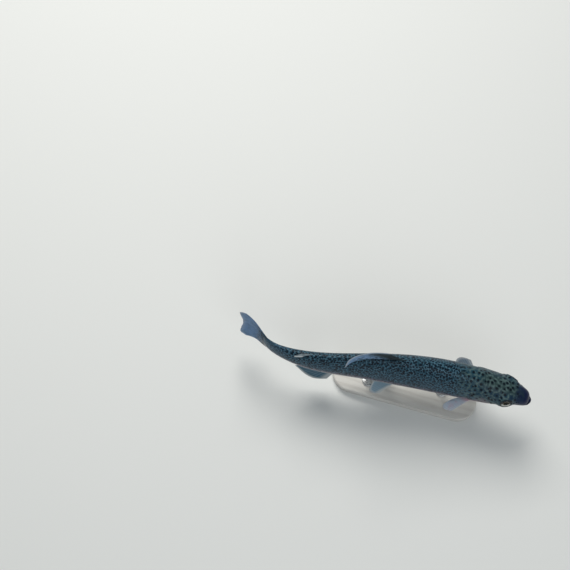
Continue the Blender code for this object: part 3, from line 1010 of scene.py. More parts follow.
@dataclass(frozen=True)
class SkinFinish:
    """Markings of the skin and scales: dark spots in a pale net, a rosy band and a white belly, with painted
    shade in the folds and a painted highlight and shade on each scale.
    """

    silver: Colour = (0.3700, 0.3950, 0.4100)
    trunk: Stops = (
        (0.00, (0.0100, 0.0430, 0.0640)),  # back
        (0.24, (0.0130, 0.0540, 0.0850)),  # shoulder
        (0.42, (0.0230, 0.0710, 0.1120)),  # flank
        (0.50, (0.0500, 0.0950, 0.1350)),  # along the lateral line
        (0.56, (0.1900, 0.1080, 0.1500)),  # rosy band
        (0.64, silver),
        (0.76, silver),
        (0.90, (0.6900, 0.6900, 0.6700)),  # belly
    )  # by the share of the way from the back to the belly
    head: Stops = (
        (0.06, (0.0215, 0.0430, 0.0450)),  # crown
        (0.24, (0.0110, 0.0390, 0.0680)),  # side
        (0.44, (0.0180, 0.0520, 0.0740)),  # temple
        (0.56, (0.1500, 0.1650, 0.1700)),  # cheek
        (0.66, silver),
        (0.84, (0.5600, 0.5600, 0.5400)),  # throat
    )
    snout: Colour = (0.0020, 0.0080, 0.0460)
    snout_fades: Pair = (0.034, 0.006)  # metres behind the tip where it is gone and where it is full
    trunk_starts: Pair = (0.062, 0.078)
    gill_cover: Colour = (0.2500, 0.1650, 0.1850)
    gill_cover_centre: Place = (0.0630, 0.0440, 0.0)  # metres behind the snout, metres round from the back
    gill_cover_reach: Pair = (0.0170, 0.0040)
    stalk: Colour = (0.0400, 0.0840, 0.1330)
    stalk_starts: Pair = (0.300, 0.345)
    fin_root: Colour = (0.4600, 0.3100, 0.3500)
    fin_root_centre: Place = (0.0755, 0.0610, 0.0)
    fin_root_reach: Pair = (0.0095, 0.0040)
    spot: Colour = (0.0012, 0.0075, 0.0165)
    spot_sizes: Pair = (0.26, 0.25)  # chance and least reach, in cells
    net: Colour = (0.0800, 0.1650, 0.2250)
    net_width: Pair = (0.24, 0.03)
    net_starts: Pair = (0.078, 0.102)
    net_fades: Pair = (0.68, 0.54)  # shares of the way to the belly
    spots_per_metre: float = 290.0
    spot_disorder: float = 0.95
    head_spot: Colour = (0.0012, 0.0055, 0.0110)
    head_spot_sizes: Pair = (0.11, 0.19)
    head_net: Colour = (0.0880, 0.1420, 0.1400)
    head_net_width: Pair = (0.30, 0.05)
    head_net_ends: Pair = (0.106, 0.084)
    head_net_fades: Pair = (0.62, 0.50)
    head_spots_per_metre: float = 152.0
    head_spot_disorder: float = 0.85
    # colour of the painted shade in the mouth, nostrils, eye rims and gill slit
    painted_fold_shade: Colour = (0.0020, 0.0030, 0.0060)
    drawn_out: Pair = (0.0028, 0.0012)  # in metres, for the trunk and for the head
    lateral_line: float = 0.482  # share of the way from the back to the belly
    plate_edge_highlight: Colour = (1.45, 1.45, 1.45)  # gain of the painted highlight at the free edge of a scale
    plate_root_shade: Colour = (0.80, 0.80, 0.80)  # gain of the painted shade at its root, under its neighbours

    def ground(self, graph: Graph, at: Chart) -> Out:
        """Lays the colours under the spots, from the dark back to the white belly.

        Args:
            graph: The finish.
            at: Where a point lies.

        Returns:
            The colour.
        """
        front = graph.plus(at.along, graph.tuned(graph.clouds(at.flat, 110.0), 0.034, -0.017))
        head = graph.mix(graph.step(front, *self.snout_fades), graph.ramp(at.turn, self.head), self.snout)
        place = graph.join(at.along, graph.sum("ABSOLUTE", at.arc))
        blush = graph.step(graph.away(place, self.gill_cover_centre), *self.gill_cover_reach)
        head = graph.mix(graph.times(blush, 0.75), head, self.gill_cover)
        colour = graph.mix(graph.step(at.along, *self.trunk_starts), head, graph.ramp(at.turn, self.trunk))
        stalk = graph.times(graph.step(at.along, *self.stalk_starts), graph.step(at.turn, 0.62, 0.50))
        colour = graph.mix(stalk, colour, self.stalk)
        root = graph.step(graph.away(place, self.fin_root_centre), *self.fin_root_reach)
        return graph.mix(root, colour, self.fin_root)

    def trunk_spots(self, graph: Graph, at: Chart, colour: Out) -> Out:
        """Draws a pale net over the trunk, and dark spots of chance sizes in its meshes.

        Args:
            graph: The finish.
            at: Where a point lies.
            colour: The colours below.

        Returns:
            The colour.
        """
        shown = graph.times(graph.step(at.rear, *self.net_starts), graph.step(at.turn, *self.net_fades))
        cell, edge = graph.net(at.drawn, self.spots_per_metre, self.spot_disorder)
        chance, _, _ = graph.split(cell.outputs["Color"])
        reach = graph.plus(graph.tuned(chance, *self.spot_sizes), graph.tuned(at.patches, 0.30, -0.15))
        blotch = graph.step(graph.less(reach, cell.outputs["Distance"]), -0.05, 0.07)
        fainter = graph.tuned(graph.step(at.along, 0.350, 0.315), 0.55, 0.45)
        breaks = graph.step(graph.clouds(at.soft, 300.0, 2.0), 0.36, 0.60)
        colour = graph.mix(graph.times(graph.step(edge, *self.net_width), breaks, shown), colour, self.net)
        return graph.mix(graph.times(blotch, fainter, shown), colour, self.spot)

    def head_spots(self, graph: Graph, at: Chart, colour: Out) -> Out:
        """Draws a cloudy pale net over the head, and larger dark spots in its meshes.

        Args:
            graph: The finish.
            at: Where a point lies.
            colour: The colours below.

        Returns:
            The colour.
        """
        low = graph.step(at.turn, *self.head_net_fades)
        shown = graph.times(graph.step(at.rear, *self.head_net_ends), low)
        cell, edge = graph.net(at.soft, self.head_spots_per_metre, self.head_spot_disorder)
        chance, luck, _ = graph.split(cell.outputs["Color"])
        cloud = graph.step(graph.clouds(at.flat, 230.0), 0.40, 0.62)
        halo = graph.times(graph.step(edge, *self.head_net_width), graph.step(at.along, 0.014, 0.034))
        halo = graph.times(halo, graph.tuned(cloud, 0.75, 0.15), shown)
        inside = graph.less(graph.tuned(chance, *self.head_spot_sizes), cell.outputs["Distance"])
        dot = graph.times(graph.step(inside, -0.02, 0.03), graph.step(luck, 0.10, 0.12))
        dot = graph.times(dot, shown, graph.step(at.along, 0.014, 0.024))
        return graph.mix(dot, graph.mix(halo, colour, self.head_net), self.head_spot)

    def chart(self, graph: Graph) -> Chart:
        """Reads where a point lies on the fish.

        Args:
            graph: The finish.

        Returns:
            Its chart.
        """
        along, arc, turn = graph.split(graph.read("lie"))
        flat = graph.join(along, arc)
        noise = graph.vector("SUBTRACT", graph.noise(flat, 330.0, 2.0).outputs["Color"], (0.5, 0.5, 0.5))
        drawn, soft = (graph.shift(flat, noise, reach) for reach in self.drawn_out)
        patches = graph.clouds(flat, 75.0)
        rear = graph.plus(along, graph.tuned(patches, 0.040, -0.020))
        return Chart(along, arc, turn, flat, drawn, soft, patches, rear)

    def markings(self, graph: Graph) -> Out:
        """Colours the whole fish by where a point lies on it.

        Args:
            graph: The finish.

        Returns:
            The colour.
        """
        at = self.chart(graph)
        colour = self.head_spots(graph, at, self.trunk_spots(graph, at, self.ground(graph, at)))
        line = graph.step(graph.sum("ABSOLUTE", graph.less(at.turn, self.lateral_line)), 0.0045, 0.0015)
        colour = graph.mix(graph.times(line, graph.step(at.along, 0.080, 0.090), 0.45), colour, self.spot)
        # Painted shade in the folds, as much as the shade kept on the mesh.
        return graph.mix(graph.number("shade"), colour, self.painted_fold_shade)

    def dress(self, *pieces: Piece) -> None:
        """Makes the finish.

        Args:
            pieces: Skin and scales that get it.
        """
        graph = Graph("trout_skin")
        rim = graph.number("rim")
        # Painted highlight on each scale's free edge and painted shade at its root under its neighbours. The
        # skin's rim is 0 there, so it gets neither.
        pale = graph.mix(graph.step(rim, 0.62, 0.98), self.plate_root_shade, self.plate_edge_highlight)
        lit = graph.mix(graph.step(rim, 0.0, 0.02), (1.0, 1.0, 1.0), pale)
        place = graph.place()
        pores = graph.cells(place, 650.0, Feature.SOFT_MIDDLE, 1.0, "3D").outputs["Distance"]
        normal = graph.bump(pores, 0.12, 0.0003)
        graph.set(
            Base_Color=graph.mix(1.0, self.markings(graph), lit, "MULTIPLY"),
            Normal=graph.bump(graph.clouds(place, 900.0, 4.0, 0.6), 0.20, 0.0002, normal),
            Roughness=graph.tuned(graph.clouds(place, 120.0, 2.0), 0.20, 0.28),
            Specular_IOR_Level=0.14,
            Coat_Weight=0.03,
            Coat_Roughness=0.14,
        )
        graph.wear(*pieces)


@dataclass(frozen=True)
class FinFinish:
    """A fin: coloured at its root like the body there, then thin web between rays, with a pale margin."""

    name: str
    web: Colour
    ray: Colour
    root: Colour = (0.030, 0.050, 0.060)
    margin: Colour = (0.620, 0.640, 0.640)
    spot: Colour = (0.008, 0.014, 0.020)
    root_reach: float = 0.30
    margin_share: float = 0.5
    front_share: float = 0.0
    spots: float = 0.0
    spots_per_metre: float = 190.0
    spot_disorder: float = 0.85
    spot_reach: Pair = (0.96, 0.80)  # where the spots stop and thin out, as shares of the rays
    dark_rays: Optional[Pair] = None  # first and last ray over which the root's colour fades
    pale_root: Optional[Colour] = None  # of the last rays
    ray_gap: float = 0.0030  # between rays, for the spots, in metres
    joint_gap: float = 0.0013  # between the joints of a ray, in metres
    through: float = 0.25  # share of the light that passes

    def blend(self, graph: Graph, ray: Out, out: Out, crest: Out) -> Out:
        """Colours the rays, the web between them and their root.

        Args:
            graph: The finish.
            ray: Number of the ray.
            out: Share of the way out along it.
            crest: 1 on a ray, 0 between two.

        Returns:
            The colour.
        """
        colour = graph.mix(graph.times(crest, 0.6), self.web, self.ray)
        clouds = graph.step(graph.clouds(graph.place(), 160.0), 0.40, 0.75)
        colour = graph.mix(clouds, colour, graph.mix(0.35, colour, self.root))
        root = self.root
        if self.pale_root:
            root = graph.mix(graph.step(ray, 11.0, 15.0), self.root, self.pale_root)
        colour = graph.mix(graph.step(out, self.root_reach, self.root_reach * 0.15), colour, root)
        if self.dark_rays:
            dark = graph.step(ray, self.dark_rays[1], self.dark_rays[0])
            colour = graph.mix(graph.times(dark, graph.step(out, 0.97, 0.80)), colour, self.root)
        return colour

    def dress(self, piece: Piece) -> None:
        """Makes the finish.

        Args:
            piece: The fin that gets it.
        """
        graph = Graph(self.name)
        ray, out, far = graph.split(graph.read("web"))
        crest = graph.step(graph.sum("COSINE", graph.times(ray, TURN)), -0.2, 0.9)
        colour = self.blend(graph, ray, out, crest)
        if self.spots:
            plane = graph.join(graph.times(ray, self.ray_gap), far)
            cell = graph.cells(plane, self.spots_per_metre, Feature.MIDDLE, self.spot_disorder)
            chance = graph.step(graph.split(cell.outputs["Color"])[0], 0.30, 0.36)
            dot = graph.times(graph.step(cell.outputs["Distance"], 0.33, 0.24), chance)
            dot = graph.times(dot, graph.step(out, *self.spot_reach), self.spots)
            colour = graph.mix(dot, colour, self.spot)
        edge = graph.times(graph.step(out, 0.86, 0.97), self.margin_share)
        front = graph.times(graph.step(ray, 2.2, 0.7), self.front_share, graph.step(out, 0.15, 0.40))
        colour = graph.mix(graph.sum("MAXIMUM", edge, front), colour, self.margin)
        joints = graph.sum("COSINE", graph.times(far, TURN / self.joint_gap))
        height = graph.times(joints, crest, graph.step(out, 0.30, 0.50))
        normal = graph.bump(height, 0.25, 0.0001)
        graph.set(Base_Color=colour, Normal=normal, Roughness=0.42, Specular_IOR_Level=0.20)
        graph.thin(self.through, colour)
        graph.wear(piece)


@dataclass(frozen=True)
class EyeFinish:
    """The eyeball: a black pupil drawn to a point in front, a gold ring and a flecked silvery iris, with
    painted shade from the brow over its upper part.
    """

    pupil: Colour = (0.002, 0.002, 0.003)
    ring: Colour = (0.430, 0.330, 0.170)
    iris: Colour = (0.700, 0.710, 0.660)
    # dark flecks of the iris, and the painted shade of the brow over its upper part
    fleck_and_brow_shade: Colour = (0.030, 0.036, 0.042)
    rim: Colour = (0.010, 0.012, 0.012)
    pupil_edge: Pair = (0.490, 0.465)  # shares of the radius, as are the next two
    ring_edge: Pair = (0.535, 0.500)
    rim_edge: Pair = (0.84, 0.93)
    point_reach: float = 0.10  # how far the pupil is drawn out in front
    front_index: float = 1.250  # of refraction of the clear front

    def dress(self, ball: Piece, cornea: Piece) -> None:
        """Makes both finishes.

        Args:
            ball: The eyeball.
            cornea: Its clear front.
        """
        graph = Graph("eye_ball_finish")
        reach, forward, upward = graph.split(graph.read("gaze"))
        point = graph.times(graph.sum("POWER", graph.sum("MAXIMUM", forward, 0.0), 6.0), self.point_reach)
        inner = graph.less(reach, point)
        flecks = graph.clouds(graph.place(), 1300.0, 4.0, 0.7)
        iris = graph.mix(graph.times(graph.step(flecks, 0.54, 0.76), 0.7), self.iris, self.fleck_and_brow_shade)
        # Painted shade of the brow: darker over the upper part of the iris.
        bar = graph.step(graph.tuned(flecks, 0.50, graph.plus(upward, 0.20)), 0.00, 0.55)
        iris = graph.mix(graph.times(bar, 0.96), iris, self.fleck_and_brow_shade)
        colour = graph.mix(graph.step(inner, *self.ring_edge), iris, self.ring)
        colour = graph.mix(graph.step(inner, *self.pupil_edge), colour, self.pupil)
        colour = graph.mix(graph.step(reach, *self.rim_edge), colour, self.rim)
        metal = graph.times(graph.step(inner, 0.475, 0.495), 0.35)
        graph.set(Base_Color=colour, Metallic=metal, Roughness=0.30, Specular_IOR_Level=0.06)
        graph.wear(ball)
        front = Graph("eye_cornea_finish")
        front.clear(0.02, self.front_index)
        front.wear(cornea)


@dataclass(frozen=True)
class TimberFinish:
    """Pale timber with its grain along the base, under a satin lacquer."""

    pale: Colour = (0.620, 0.600, 0.560)
    dark: Colour = (0.500, 0.475, 0.440)
    pore: Colour = (0.330, 0.305, 0.275)
    rings_per_metre: float = 620.0  # in radians
    ring_slant: float = 0.6

    def dress(self, piece: Piece) -> None:
        """Makes the finish.

        Args:
            piece: The base that gets it.
        """
        graph = Graph("pale_timber")
        x, y, z = graph.split(graph.place())
        warp = graph.clouds(graph.join(graph.times(x, 0.10), y, z), 38.0)
        rings = graph.times(graph.plus(y, graph.times(z, self.ring_slant)), self.rings_per_metre)
        grain = graph.step(graph.sum("SINE", graph.plus(rings, graph.times(warp, 26.0))), -0.9, 1.0)
        colour = graph.mix(graph.times(grain, 0.55), self.pale, self.dark)
        pores = graph.clouds(graph.join(graph.times(x, 0.035), y, z), 2600.0, 2.0)
        graph.set(
            Base_Color=graph.mix(graph.times(graph.step(pores, 0.62, 0.72), 0.45), colour, self.pore),
            Roughness=graph.tuned(pores, 0.20, 0.34),
            Coat_Weight=0.15,
            Coat_Roughness=0.25,
            Normal=graph.bump(pores, 0.12, 0.0002),
        )
        graph.wear(piece)


@dataclass(frozen=True)
class SteelFinish:
    """Turned steel with fine rings from the lathe."""

    colour: Colour = (0.600, 0.605, 0.610)
    roughness: float = 0.20
    unevenness: float = 0.16

    def dress(self, piece: Piece) -> None:
        """Makes the finish.

        Args:
            piece: The rod that gets it.
        """
        graph = Graph("turned_steel_" + piece.name)
        x, y, z = graph.split(graph.place())
        lathe = graph.clouds(graph.join(graph.times(x, 0.02), graph.times(y, 0.02), z), 9000.0, 2.0)
        graph.set(
            Base_Color=self.colour,
            Metallic=1.0,
            Roughness=graph.tuned(lathe, self.unevenness, self.roughness),
            Normal=graph.bump(lathe, 0.10, 0.0001),
        )
        graph.wear(piece)


@dataclass(frozen=True)
class FloorFinish:
    """A plain matt floor."""

    colour: Colour = (0.760, 0.765, 0.745)

    def dress(self, piece: Piece) -> None:
        """Makes the finish.

        Args:
            piece: The floor that gets it.
        """
        graph = Graph("studio_floor")
        graph.set(Base_Color=self.colour, Roughness=0.75, Specular_IOR_Level=0.2)
        graph.wear(piece)


# Skin and scales
# -------


@dataclass
class Skin:
    """One unbroken skin from the snout to the root of the tail fin. Lengths are in metres."""

    around: int = 320
    tip_rings: int = 26
    tip_end: float = 0.0090
    tip_crowding: float = 1.7
    head_step: float = 0.00052
    head_end: float = 0.0460
    cheek_step: float = 0.00075
    edge_offsets: tuple[float, ...] = (
        -0.0014, -0.0009, -0.0005, -0.0002, 0.0, 0.00012, 0.00035, 0.0007, 0.0012, 0.0018,
    )
    edge_gaps: Pair = (0.0019, 0.0026)  # left free before and behind the gill edge for its own rings
    trunk_rings: int = 84
    end: float = 0.912  # share of the length
    coat: float = 0.00050  # how far it lies inside the flesh where scales cover it
    nodes: tuple[str, ...] = (
        "head", "lower_jaw", "gill_cover_left", "gill_cover_right",
        "trunk_front", "trunk_middle", "trunk_rear", "tail_stalk",
    )

    def rings(self) -> Array:
        """Places the rings, close together where the head has folds.

        Returns:
            Shares of the length at which they cross the cheek.
        """
        edge = RELIEF.cheek_edge() * LENGTH
        tip = self.tip_end * (np.arange(self.tip_rings) / self.tip_rings) ** self.tip_crowding
        head = np.arange(self.tip_end, self.head_end, self.head_step)
        cheek = np.arange(self.head_end, edge - self.edge_gaps[0], self.cheek_step)
        trunk = np.linspace(edge + self.edge_gaps[1], self.end * LENGTH, self.trunk_rings + 1)
        return np.concatenate([tip, head, cheek, edge + np.array(self.edge_offsets), trunk]) / LENGTH

    @staticmethod
    def lean(place: Array, angle: Array) -> Array:
        """Bends rings so that the one at the gills follows the edge of the gill cover.

        Args:
            place: Shares of the length at which rings cross the cheek.
            angle: Radians round the body.

        Returns:
            Shares of the length at those angles.
        """
        cheek = RELIEF.cheek_edge()
        pull = np.where(place < cheek, rise(place, 0.035, cheek), rise(place, 0.40, cheek))
        return place + (RELIEF.gill_edge(angle) - cheek) * pull

    @staticmethod
    def covered(at: Array, angle: Array) -> Array:
        """1 where scales cover the skin, 0 on the head."""
        return rise(RELIEF.past_gills(at, angle), 0.0004, 0.0024)

    def build(self) -> Piece:
        """Shapes the skin.

        Returns:
            The piece, without its finish.
        """
        places = self.rings()
        piece, column, row = Bench.sheet("trout_skin", self.around, len(places) - 1)
        place, angle = places[row], column / self.around * TURN
        at = self.lean(place, angle)
        base = FLESH.point(at, angle)
        relief = RELIEF.height(at, angle, base) * rise(at * LENGTH, 0.0, 0.0012) * rise(at, 0.26, 0.23)
        grow = relief - self.coat * self.covered(at, angle)
        points = base + FLESH.normal(np.maximum(at, 1e-4), angle) * grow[:, None]
        points[row == 0] = (0.0, 0.0, RELIEF.mouth_line[0][1] * LENGTH)
        points[row == len(places) - 1, 1] = 0.0
        Bench.shape(piece, FLESH.bend(points))
        Bench.note(piece, "lie", FLESH.lie(at, angle))
        Bench.note(piece, "shade", RELIEF.shade(at, angle, base))
        Bench.note(piece, "rim", np.zeros(len(at)))
        Bench.close(piece)
        Bench.soften(piece)
        Bench.mount(piece, "skin", *self.nodes)
        return piece


class Part(Enum):
    """The pieces into which the coat of scales is divided, by degrees round from the back."""

    LEFT_BACK = (0.0, 90.0)
    LEFT_BELLY = (90.0, 180.0)
    RIGHT_BELLY = (180.0, 270.0)
    RIGHT_BACK = (270.0, 360.0)


class Seats(NamedTuple):
    """Where plates sit, one row of each array for a plate."""

    at: Array  # share of the length
    turn: Array  # radians round the body
    step: Array  # between neighbours, as a share of the length
    chance: Array  # three numbers from -1 to 1

    def only(self, keep: Array) -> "Seats":
        """The seats for which keep is true."""
        return Seats(*(column[keep] for column in self))


@dataclass
class Scales:
    """The coat: thin overlapping plates in slanting rows, each a closed solid."""

    around: int = 76
    last: float = 0.900
    long_step: float = 0.00270  # between neighbours along the trunk, in metres
    short_step: float = 0.00125  # the same on the tail stalk
    step_places: tuple[float, ...] = (0.20, 0.50, 0.86)  # long until the second, short from the third
    corners: int = 9
    length: float = 1.62  # of a plate, in steps
    width: float = 1.10  # of a plate, in steps round the body
    lift: float = 0.00040  # of the free edge above the root, in metres
    curl: float = 0.55  # how much less the corners of the free edge lift
    crown: float = 0.12  # how much more the middle lifts
    least_lift: float = 0.45  # share of the lift that even the smallest plates have
    thickness: float = 0.00013  # in metres
    proud: float = 0.00004  # of the roots over the skin's coat, in metres
    bare: float = 0.0006  # behind the gill edge, in metres
    fade: float = 0.0070  # over which the lift grows behind the gill edge, in metres
    unevenness: tuple[float, float, float] = (0.06, 0.04, 0.05)  # of length, width and slant
    patch: float = 0.003  # of a plate on the bake map
    seed: int = 7

    def plate(self) -> tuple[Array, list[tuple[int, ...]]]:
        """Models one plate, a thin disc with a raised middle.

        Returns:
            Its corners as shares along, across and through it, and its faces as corner numbers.
        """
        Bench.clear_selection()
        bpy.ops.mesh.primitive_circle_add(
            vertices=self.corners, radius=0.5, fill_type="NGON", rotation=(0, 0, math.pi)
        )
        disc = Bench.named("scale_pattern")
        Bench.settle(disc)
        with Bench.editing(disc):
            bpy.ops.mesh.extrude_region_move(TRANSFORM_OT_translate={"value": (0, 0, 1)})
            Bench.select(disc, Element.FACE, lambda co: co.z > 0.5)
            bpy.ops.mesh.poke(offset=0.0)
            Bench.face_out()
        corners = np.array([vertex.co[:] for vertex in disc.data.vertices])
        faces = [tuple(face.vertices) for face in disc.data.polygons]
        bpy.data.objects.remove(disc)
        return corners, faces

    def seats(self) -> Seats:
        """Finds where the plates sit, without the bare places.

        Returns:
            Their seats.
        """
        sizes = (self.long_step, self.long_step, self.short_step)
        places, steps, at = [], [], min(edge for _, edge in RELIEF.gill_edge_table)
        while at < self.last:
            step = float(np.interp(at, self.step_places, sizes)) / LENGTH
            places.append(at)
            steps.append(step)
            at += step / 2
        odd = np.repeat(np.arange(len(places)) % 2, self.around)
        angle = (np.tile(np.arange(self.around), len(places)) + 0.5 * odd) / self.around * TURN
        at, step = np.repeat(places, self.around), np.repeat(steps, self.around)
        keep = RELIEF.past_gills(at, angle) > self.bare
        chance = np.random.default_rng(self.seed).uniform(-1, 1, (int(keep.sum()), 3))
        return Seats(at[keep], np.mod(angle[keep], TURN), step[keep], chance)

    def lay(self, name: str, plate: Array, faces: list[tuple[int, ...]], seats: Seats) -> Piece:
        """Lays plates on their seats, all in one piece.

        Args:
            name: The piece's name.
            plate: Corners of a plate.
            faces: Its faces.
            seats: Where they sit.

        Returns:
            The piece, without its finish.
        """
        along, across, through = plate.T
        free = 0.5 + along
        at, turn, step = (column[:, None] for column in seats[:3])
        uneven = 1 + np.array(self.unevenness[:2]) * seats.chance[:, :2]
        slant = self.unevenness[2] * seats.chance[:, 2:]
        width = TURN / self.around * self.width * uneven[:, 1:]
        where = at + along * step * self.length * uneven[:, :1]
        angle = turn + across * width + slant * along * width
        size = self.least_lift + (1 - self.least_lift) * step * LENGTH / self.long_step
        middle = np.hypot(along, across) < 0.1
        height = size * self.lift * (free - self.curl * free * (2 * across) ** 2 + self.crown * middle)
        height = height * rise(RELIEF.past_gills(at, turn), 0.0, self.fade)
        height = height - Skin.coat * Skin.covered(where, angle) + self.proud
        height = height - (1 - through) * self.thickness
        points = FLESH.point(where, angle) + FLESH.normal(where, angle) * height[..., None]
        piece, loops = self.joined(name, FLESH.bend(points), faces)
        Bench.note(piece, "lie", FLESH.lie(where.ravel(), angle.ravel()))
        Bench.note(piece, "shade", np.zeros(where.size))
        Bench.note(piece, "rim", np.tile(free * through, len(at)))
        flat = np.broadcast_arrays(at + along * self.patch, turn / TURN + across * self.patch)
        layer = piece.data.uv_layers.new(name=BAKE_MAP)
        layer.data.foreach_set("uv", np.stack(flat, -1).reshape(-1, 2)[loops].astype(np.float32).ravel())
        with Bench.editing(piece):
            bpy.ops.mesh.normals_make_consistent(inside=False)
        Bench.soften(piece, 50)
        Bench.mount(piece, "skin")
        return piece

    @staticmethod
    def joined(name: str, points: Array, faces: list[tuple[int, ...]]) -> tuple[Piece, Array]:
        """Copies one plate's faces to all plates and joins them in a mesh.

        Args:
            name: The piece's name.
            points: Places of the corners, one row for each plate.
            faces: One plate's faces.

        Returns:
            The piece, and the corner number at each corner of each face.
        """
        plates, count = points.shape[:2]
        sizes = np.tile([len(face) for face in faces], plates)
        corners = np.concatenate([np.array(face) for face in faces])
        loops = ((np.arange(plates) * count)[:, None] + corners).ravel()
        mesh = bpy.data.meshes.new(name)
        mesh.vertices.add(plates * count)
        mesh.loops.add(len(loops))
        mesh.polygons.add(len(sizes))
        mesh.vertices.foreach_set("co", points.astype(np.float32).ravel())
        mesh.loops.foreach_set("vertex_index", loops.astype(np.int32))
        mesh.polygons.foreach_set("loop_start", (np.cumsum(sizes) - sizes).astype(np.int32))
        mesh.update(calc_edges=True)
        piece = bpy.data.objects.new(name, mesh)
        bpy.context.scene.collection.objects.link(piece)
        return piece, loops

    def build(self) -> list[Piece]:
        """Lays the plates all over the trunk.

        Returns:
            One piece for each part of the coat, without its finish.
        """
        plate, faces = self.plate()
        seats = self.seats()
        pieces = []
        for part in Part:
            low, high = (math.radians(value) for value in part.value)
            mine = seats.only((seats.turn >= low) & (seats.turn < high))
            pieces.append(self.lay("scales_" + part.name.lower(), plate, faces, mine))
        return pieces


# Fins
# -------


@dataclass
class Fin:
    """A fin as a fan of rays, with a web between them that thins towards the margin.

    Lengths of rays are shares of the fish's length, the other sizes are in metres, and angles are in degrees.
    """

    name: str
    finish: FinFinish
    lengths: tuple[float, ...]
    rays: int
    root: tuple[Pair, Pair] = ((0, 0), (0, 0))  # share and angle at which the first and the last ray start
    out: Place = (0, 0, 1)
    sweeps: tuple[float, ...] = (0.0,) * 6
    root_leans: tuple[float, ...] = (0.0,) * 6
    tip_leans: tuple[float, ...] = (0.0,) * 6
    thickness: Pair = (0.0015, 0.00028)  # at the root and the margin
    ridge: float = 0.00022  # height of a ray over the web
    side: Side = Side.LEFT
    sink: float = 0.0030  # how far the roots start inside the flesh
    faces_per_ray: int = 8
    steps: int = 56
    web_falls: Pair = (0.008, 0.009)  # shares of a ray, between rays and unevenly
    fork: float = 0.24  # how far each half of a ray parts from its middle, in gaps between rays
    ray_width: float = 0.15  # in gaps between rays

    def middle(self, u: Array, v: Array) -> Array:
        """Bends the fin's middle surface up from its root.

        Args:
            u: Shares of the way from the first ray to the last.
            v: Shares of the way out along a ray.

        Returns:
            Places in spine space on a grid of columns u and rows v.
        """
        (first_at, first_angle), (last_at, last_angle) = self.root
        at = first_at + (last_at - first_at) * u
        angle = np.radians(first_angle + (last_angle - first_angle) * u)
        root = FLESH.point(at, angle, -self.sink)[:, None, :]
        out, back = np.array(self.out), np.array((1.0, 0.0, 0.0))
        side = np.cross(out, back)
        side /= np.linalg.norm(side)
        if side[1] < 0 or (side[1] == 0 and side[2] < 0):
            side = -side
        sweep = np.radians(even(self.sweeps, u))[:, None]
        flat = np.cos(sweep) * out + np.sin(sweep) * back
        reach = even(self.lengths, u) * LENGTH * self.fringe(u) + self.sink
        root_lean, tip_lean = np.radians(even(self.root_leans, u)), np.radians(even(self.tip_leans, u))
        lean = root_lean[:, None] + (tip_lean - root_lean)[:, None] * (v[1:] + v[:-1]) / 2
        moves = np.cos(lean)[..., None] * flat[:, None, :] + np.sin(lean)[..., None] * side
        moves *= (reach[:, None] * np.diff(v))[..., None]
        return np.concatenate([root, root + np.cumsum(moves, 1)], 1)

    def fringe(self, u: Array) -> Array:
        """Trims the margin: the web falls a little short of the rays.

        Args:
            u: Shares of the way from the first ray to the last.

        Returns:
            Share of its length that each column keeps.
        """
        ray = u * (self.rays - 1)
        uneven = np.abs(np.sin(ray * 2.3)) * np.sin(ray * 0.9) ** 2
        return 1 - self.web_falls[0] * (1 - np.abs(np.cos(math.pi * ray))) - self.web_falls[1] * uneven

    def relief(self, u: Array, v: Array) -> Array:
        """Raises the rays over the web. Each ray forks towards the margin.

        Args:
            u: Shares of the way from the first ray to the last.
            v: Shares of the way out along a ray.

        Returns:
            Heights in metres on a grid of columns u and rows v.
        """
        ray = u * (self.rays - 1)
        away = (ray - np.round(ray))[:, None]
        fork = self.fork * rise(v, 0.38, 0.95)[None, :]
        crest = bell(away - fork, self.ray_width) + bell(away + fork, self.ray_width)
        crest = np.clip(crest + bell(1 - np.abs(away) - fork, self.ray_width), 0, 1)
        return self.ridge * crest * (rise(v, 0.04, 0.20) * (1 - 0.65 * rise(v, 0.5, 1.0)))[None, :]

    def half_thickness(self, u: Array, v: Array) -> Array:
        """Works out how far each face lies from the middle surface, down to nothing at all four edges.

        Args:
            u: Shares of the way from the first ray to the last.
            v: Shares of the way out along a ray.

        Returns:
            Metres on a grid of columns u and rows v.
        """
        at_root, at_margin = self.thickness
        half = (at_root + (at_margin - at_root) * rise(v, -0.1, 0.75)) / 2
        half = (half[None, :] + self.relief(u, v)) * ((1 - np.abs(2 * u - 1) ** 14) ** 0.5)[:, None]
        return half * (rise(v, 0.0, 0.03) * np.sqrt(np.clip(1 - v**40, 0, 1)))[None, :]

    def build(self) -> None:
        """Shapes the fin as one closed skin round its middle surface, and dresses it."""
        columns = (self.rays - 1) * self.faces_per_ray
        piece, column, row = Bench.sheet(self.name + "_webbed", 2 * columns, self.steps)
        us, vs = np.linspace(0, 1, columns + 1), np.linspace(0, 1, self.steps + 1)
        surface = self.middle(us, vs) * np.array((1, self.side.value, 1))
        normal = np.cross(np.gradient(surface, axis=1), np.gradient(surface, axis=0))
        normal /= np.maximum(np.linalg.norm(normal, axis=-1, keepdims=True), 1e-12)
        sign = np.where(column <= columns, 1.0, -1.0)
        column = np.where(column <= columns, column, 2 * columns - column)
        away = sign * self.half_thickness(us, vs)[column, row]
        Bench.shape(piece, FLESH.bend(surface[column, row] + normal[column, row] * away[:, None]))
        reach = np.cumsum(np.linalg.norm(np.diff(surface, axis=1), axis=-1), 1)
        reach = np.concatenate([np.zeros((len(us), 1)), reach], 1)
        Bench.note(piece, "web", np.stack([us[column] * (self.rays - 1), vs[row], reach[column, row]], -1))
        Bench.close(piece)
        Bench.soften(piece)
        self.finish.dress(piece)
        Bench.mount(piece, "fin", self.name)


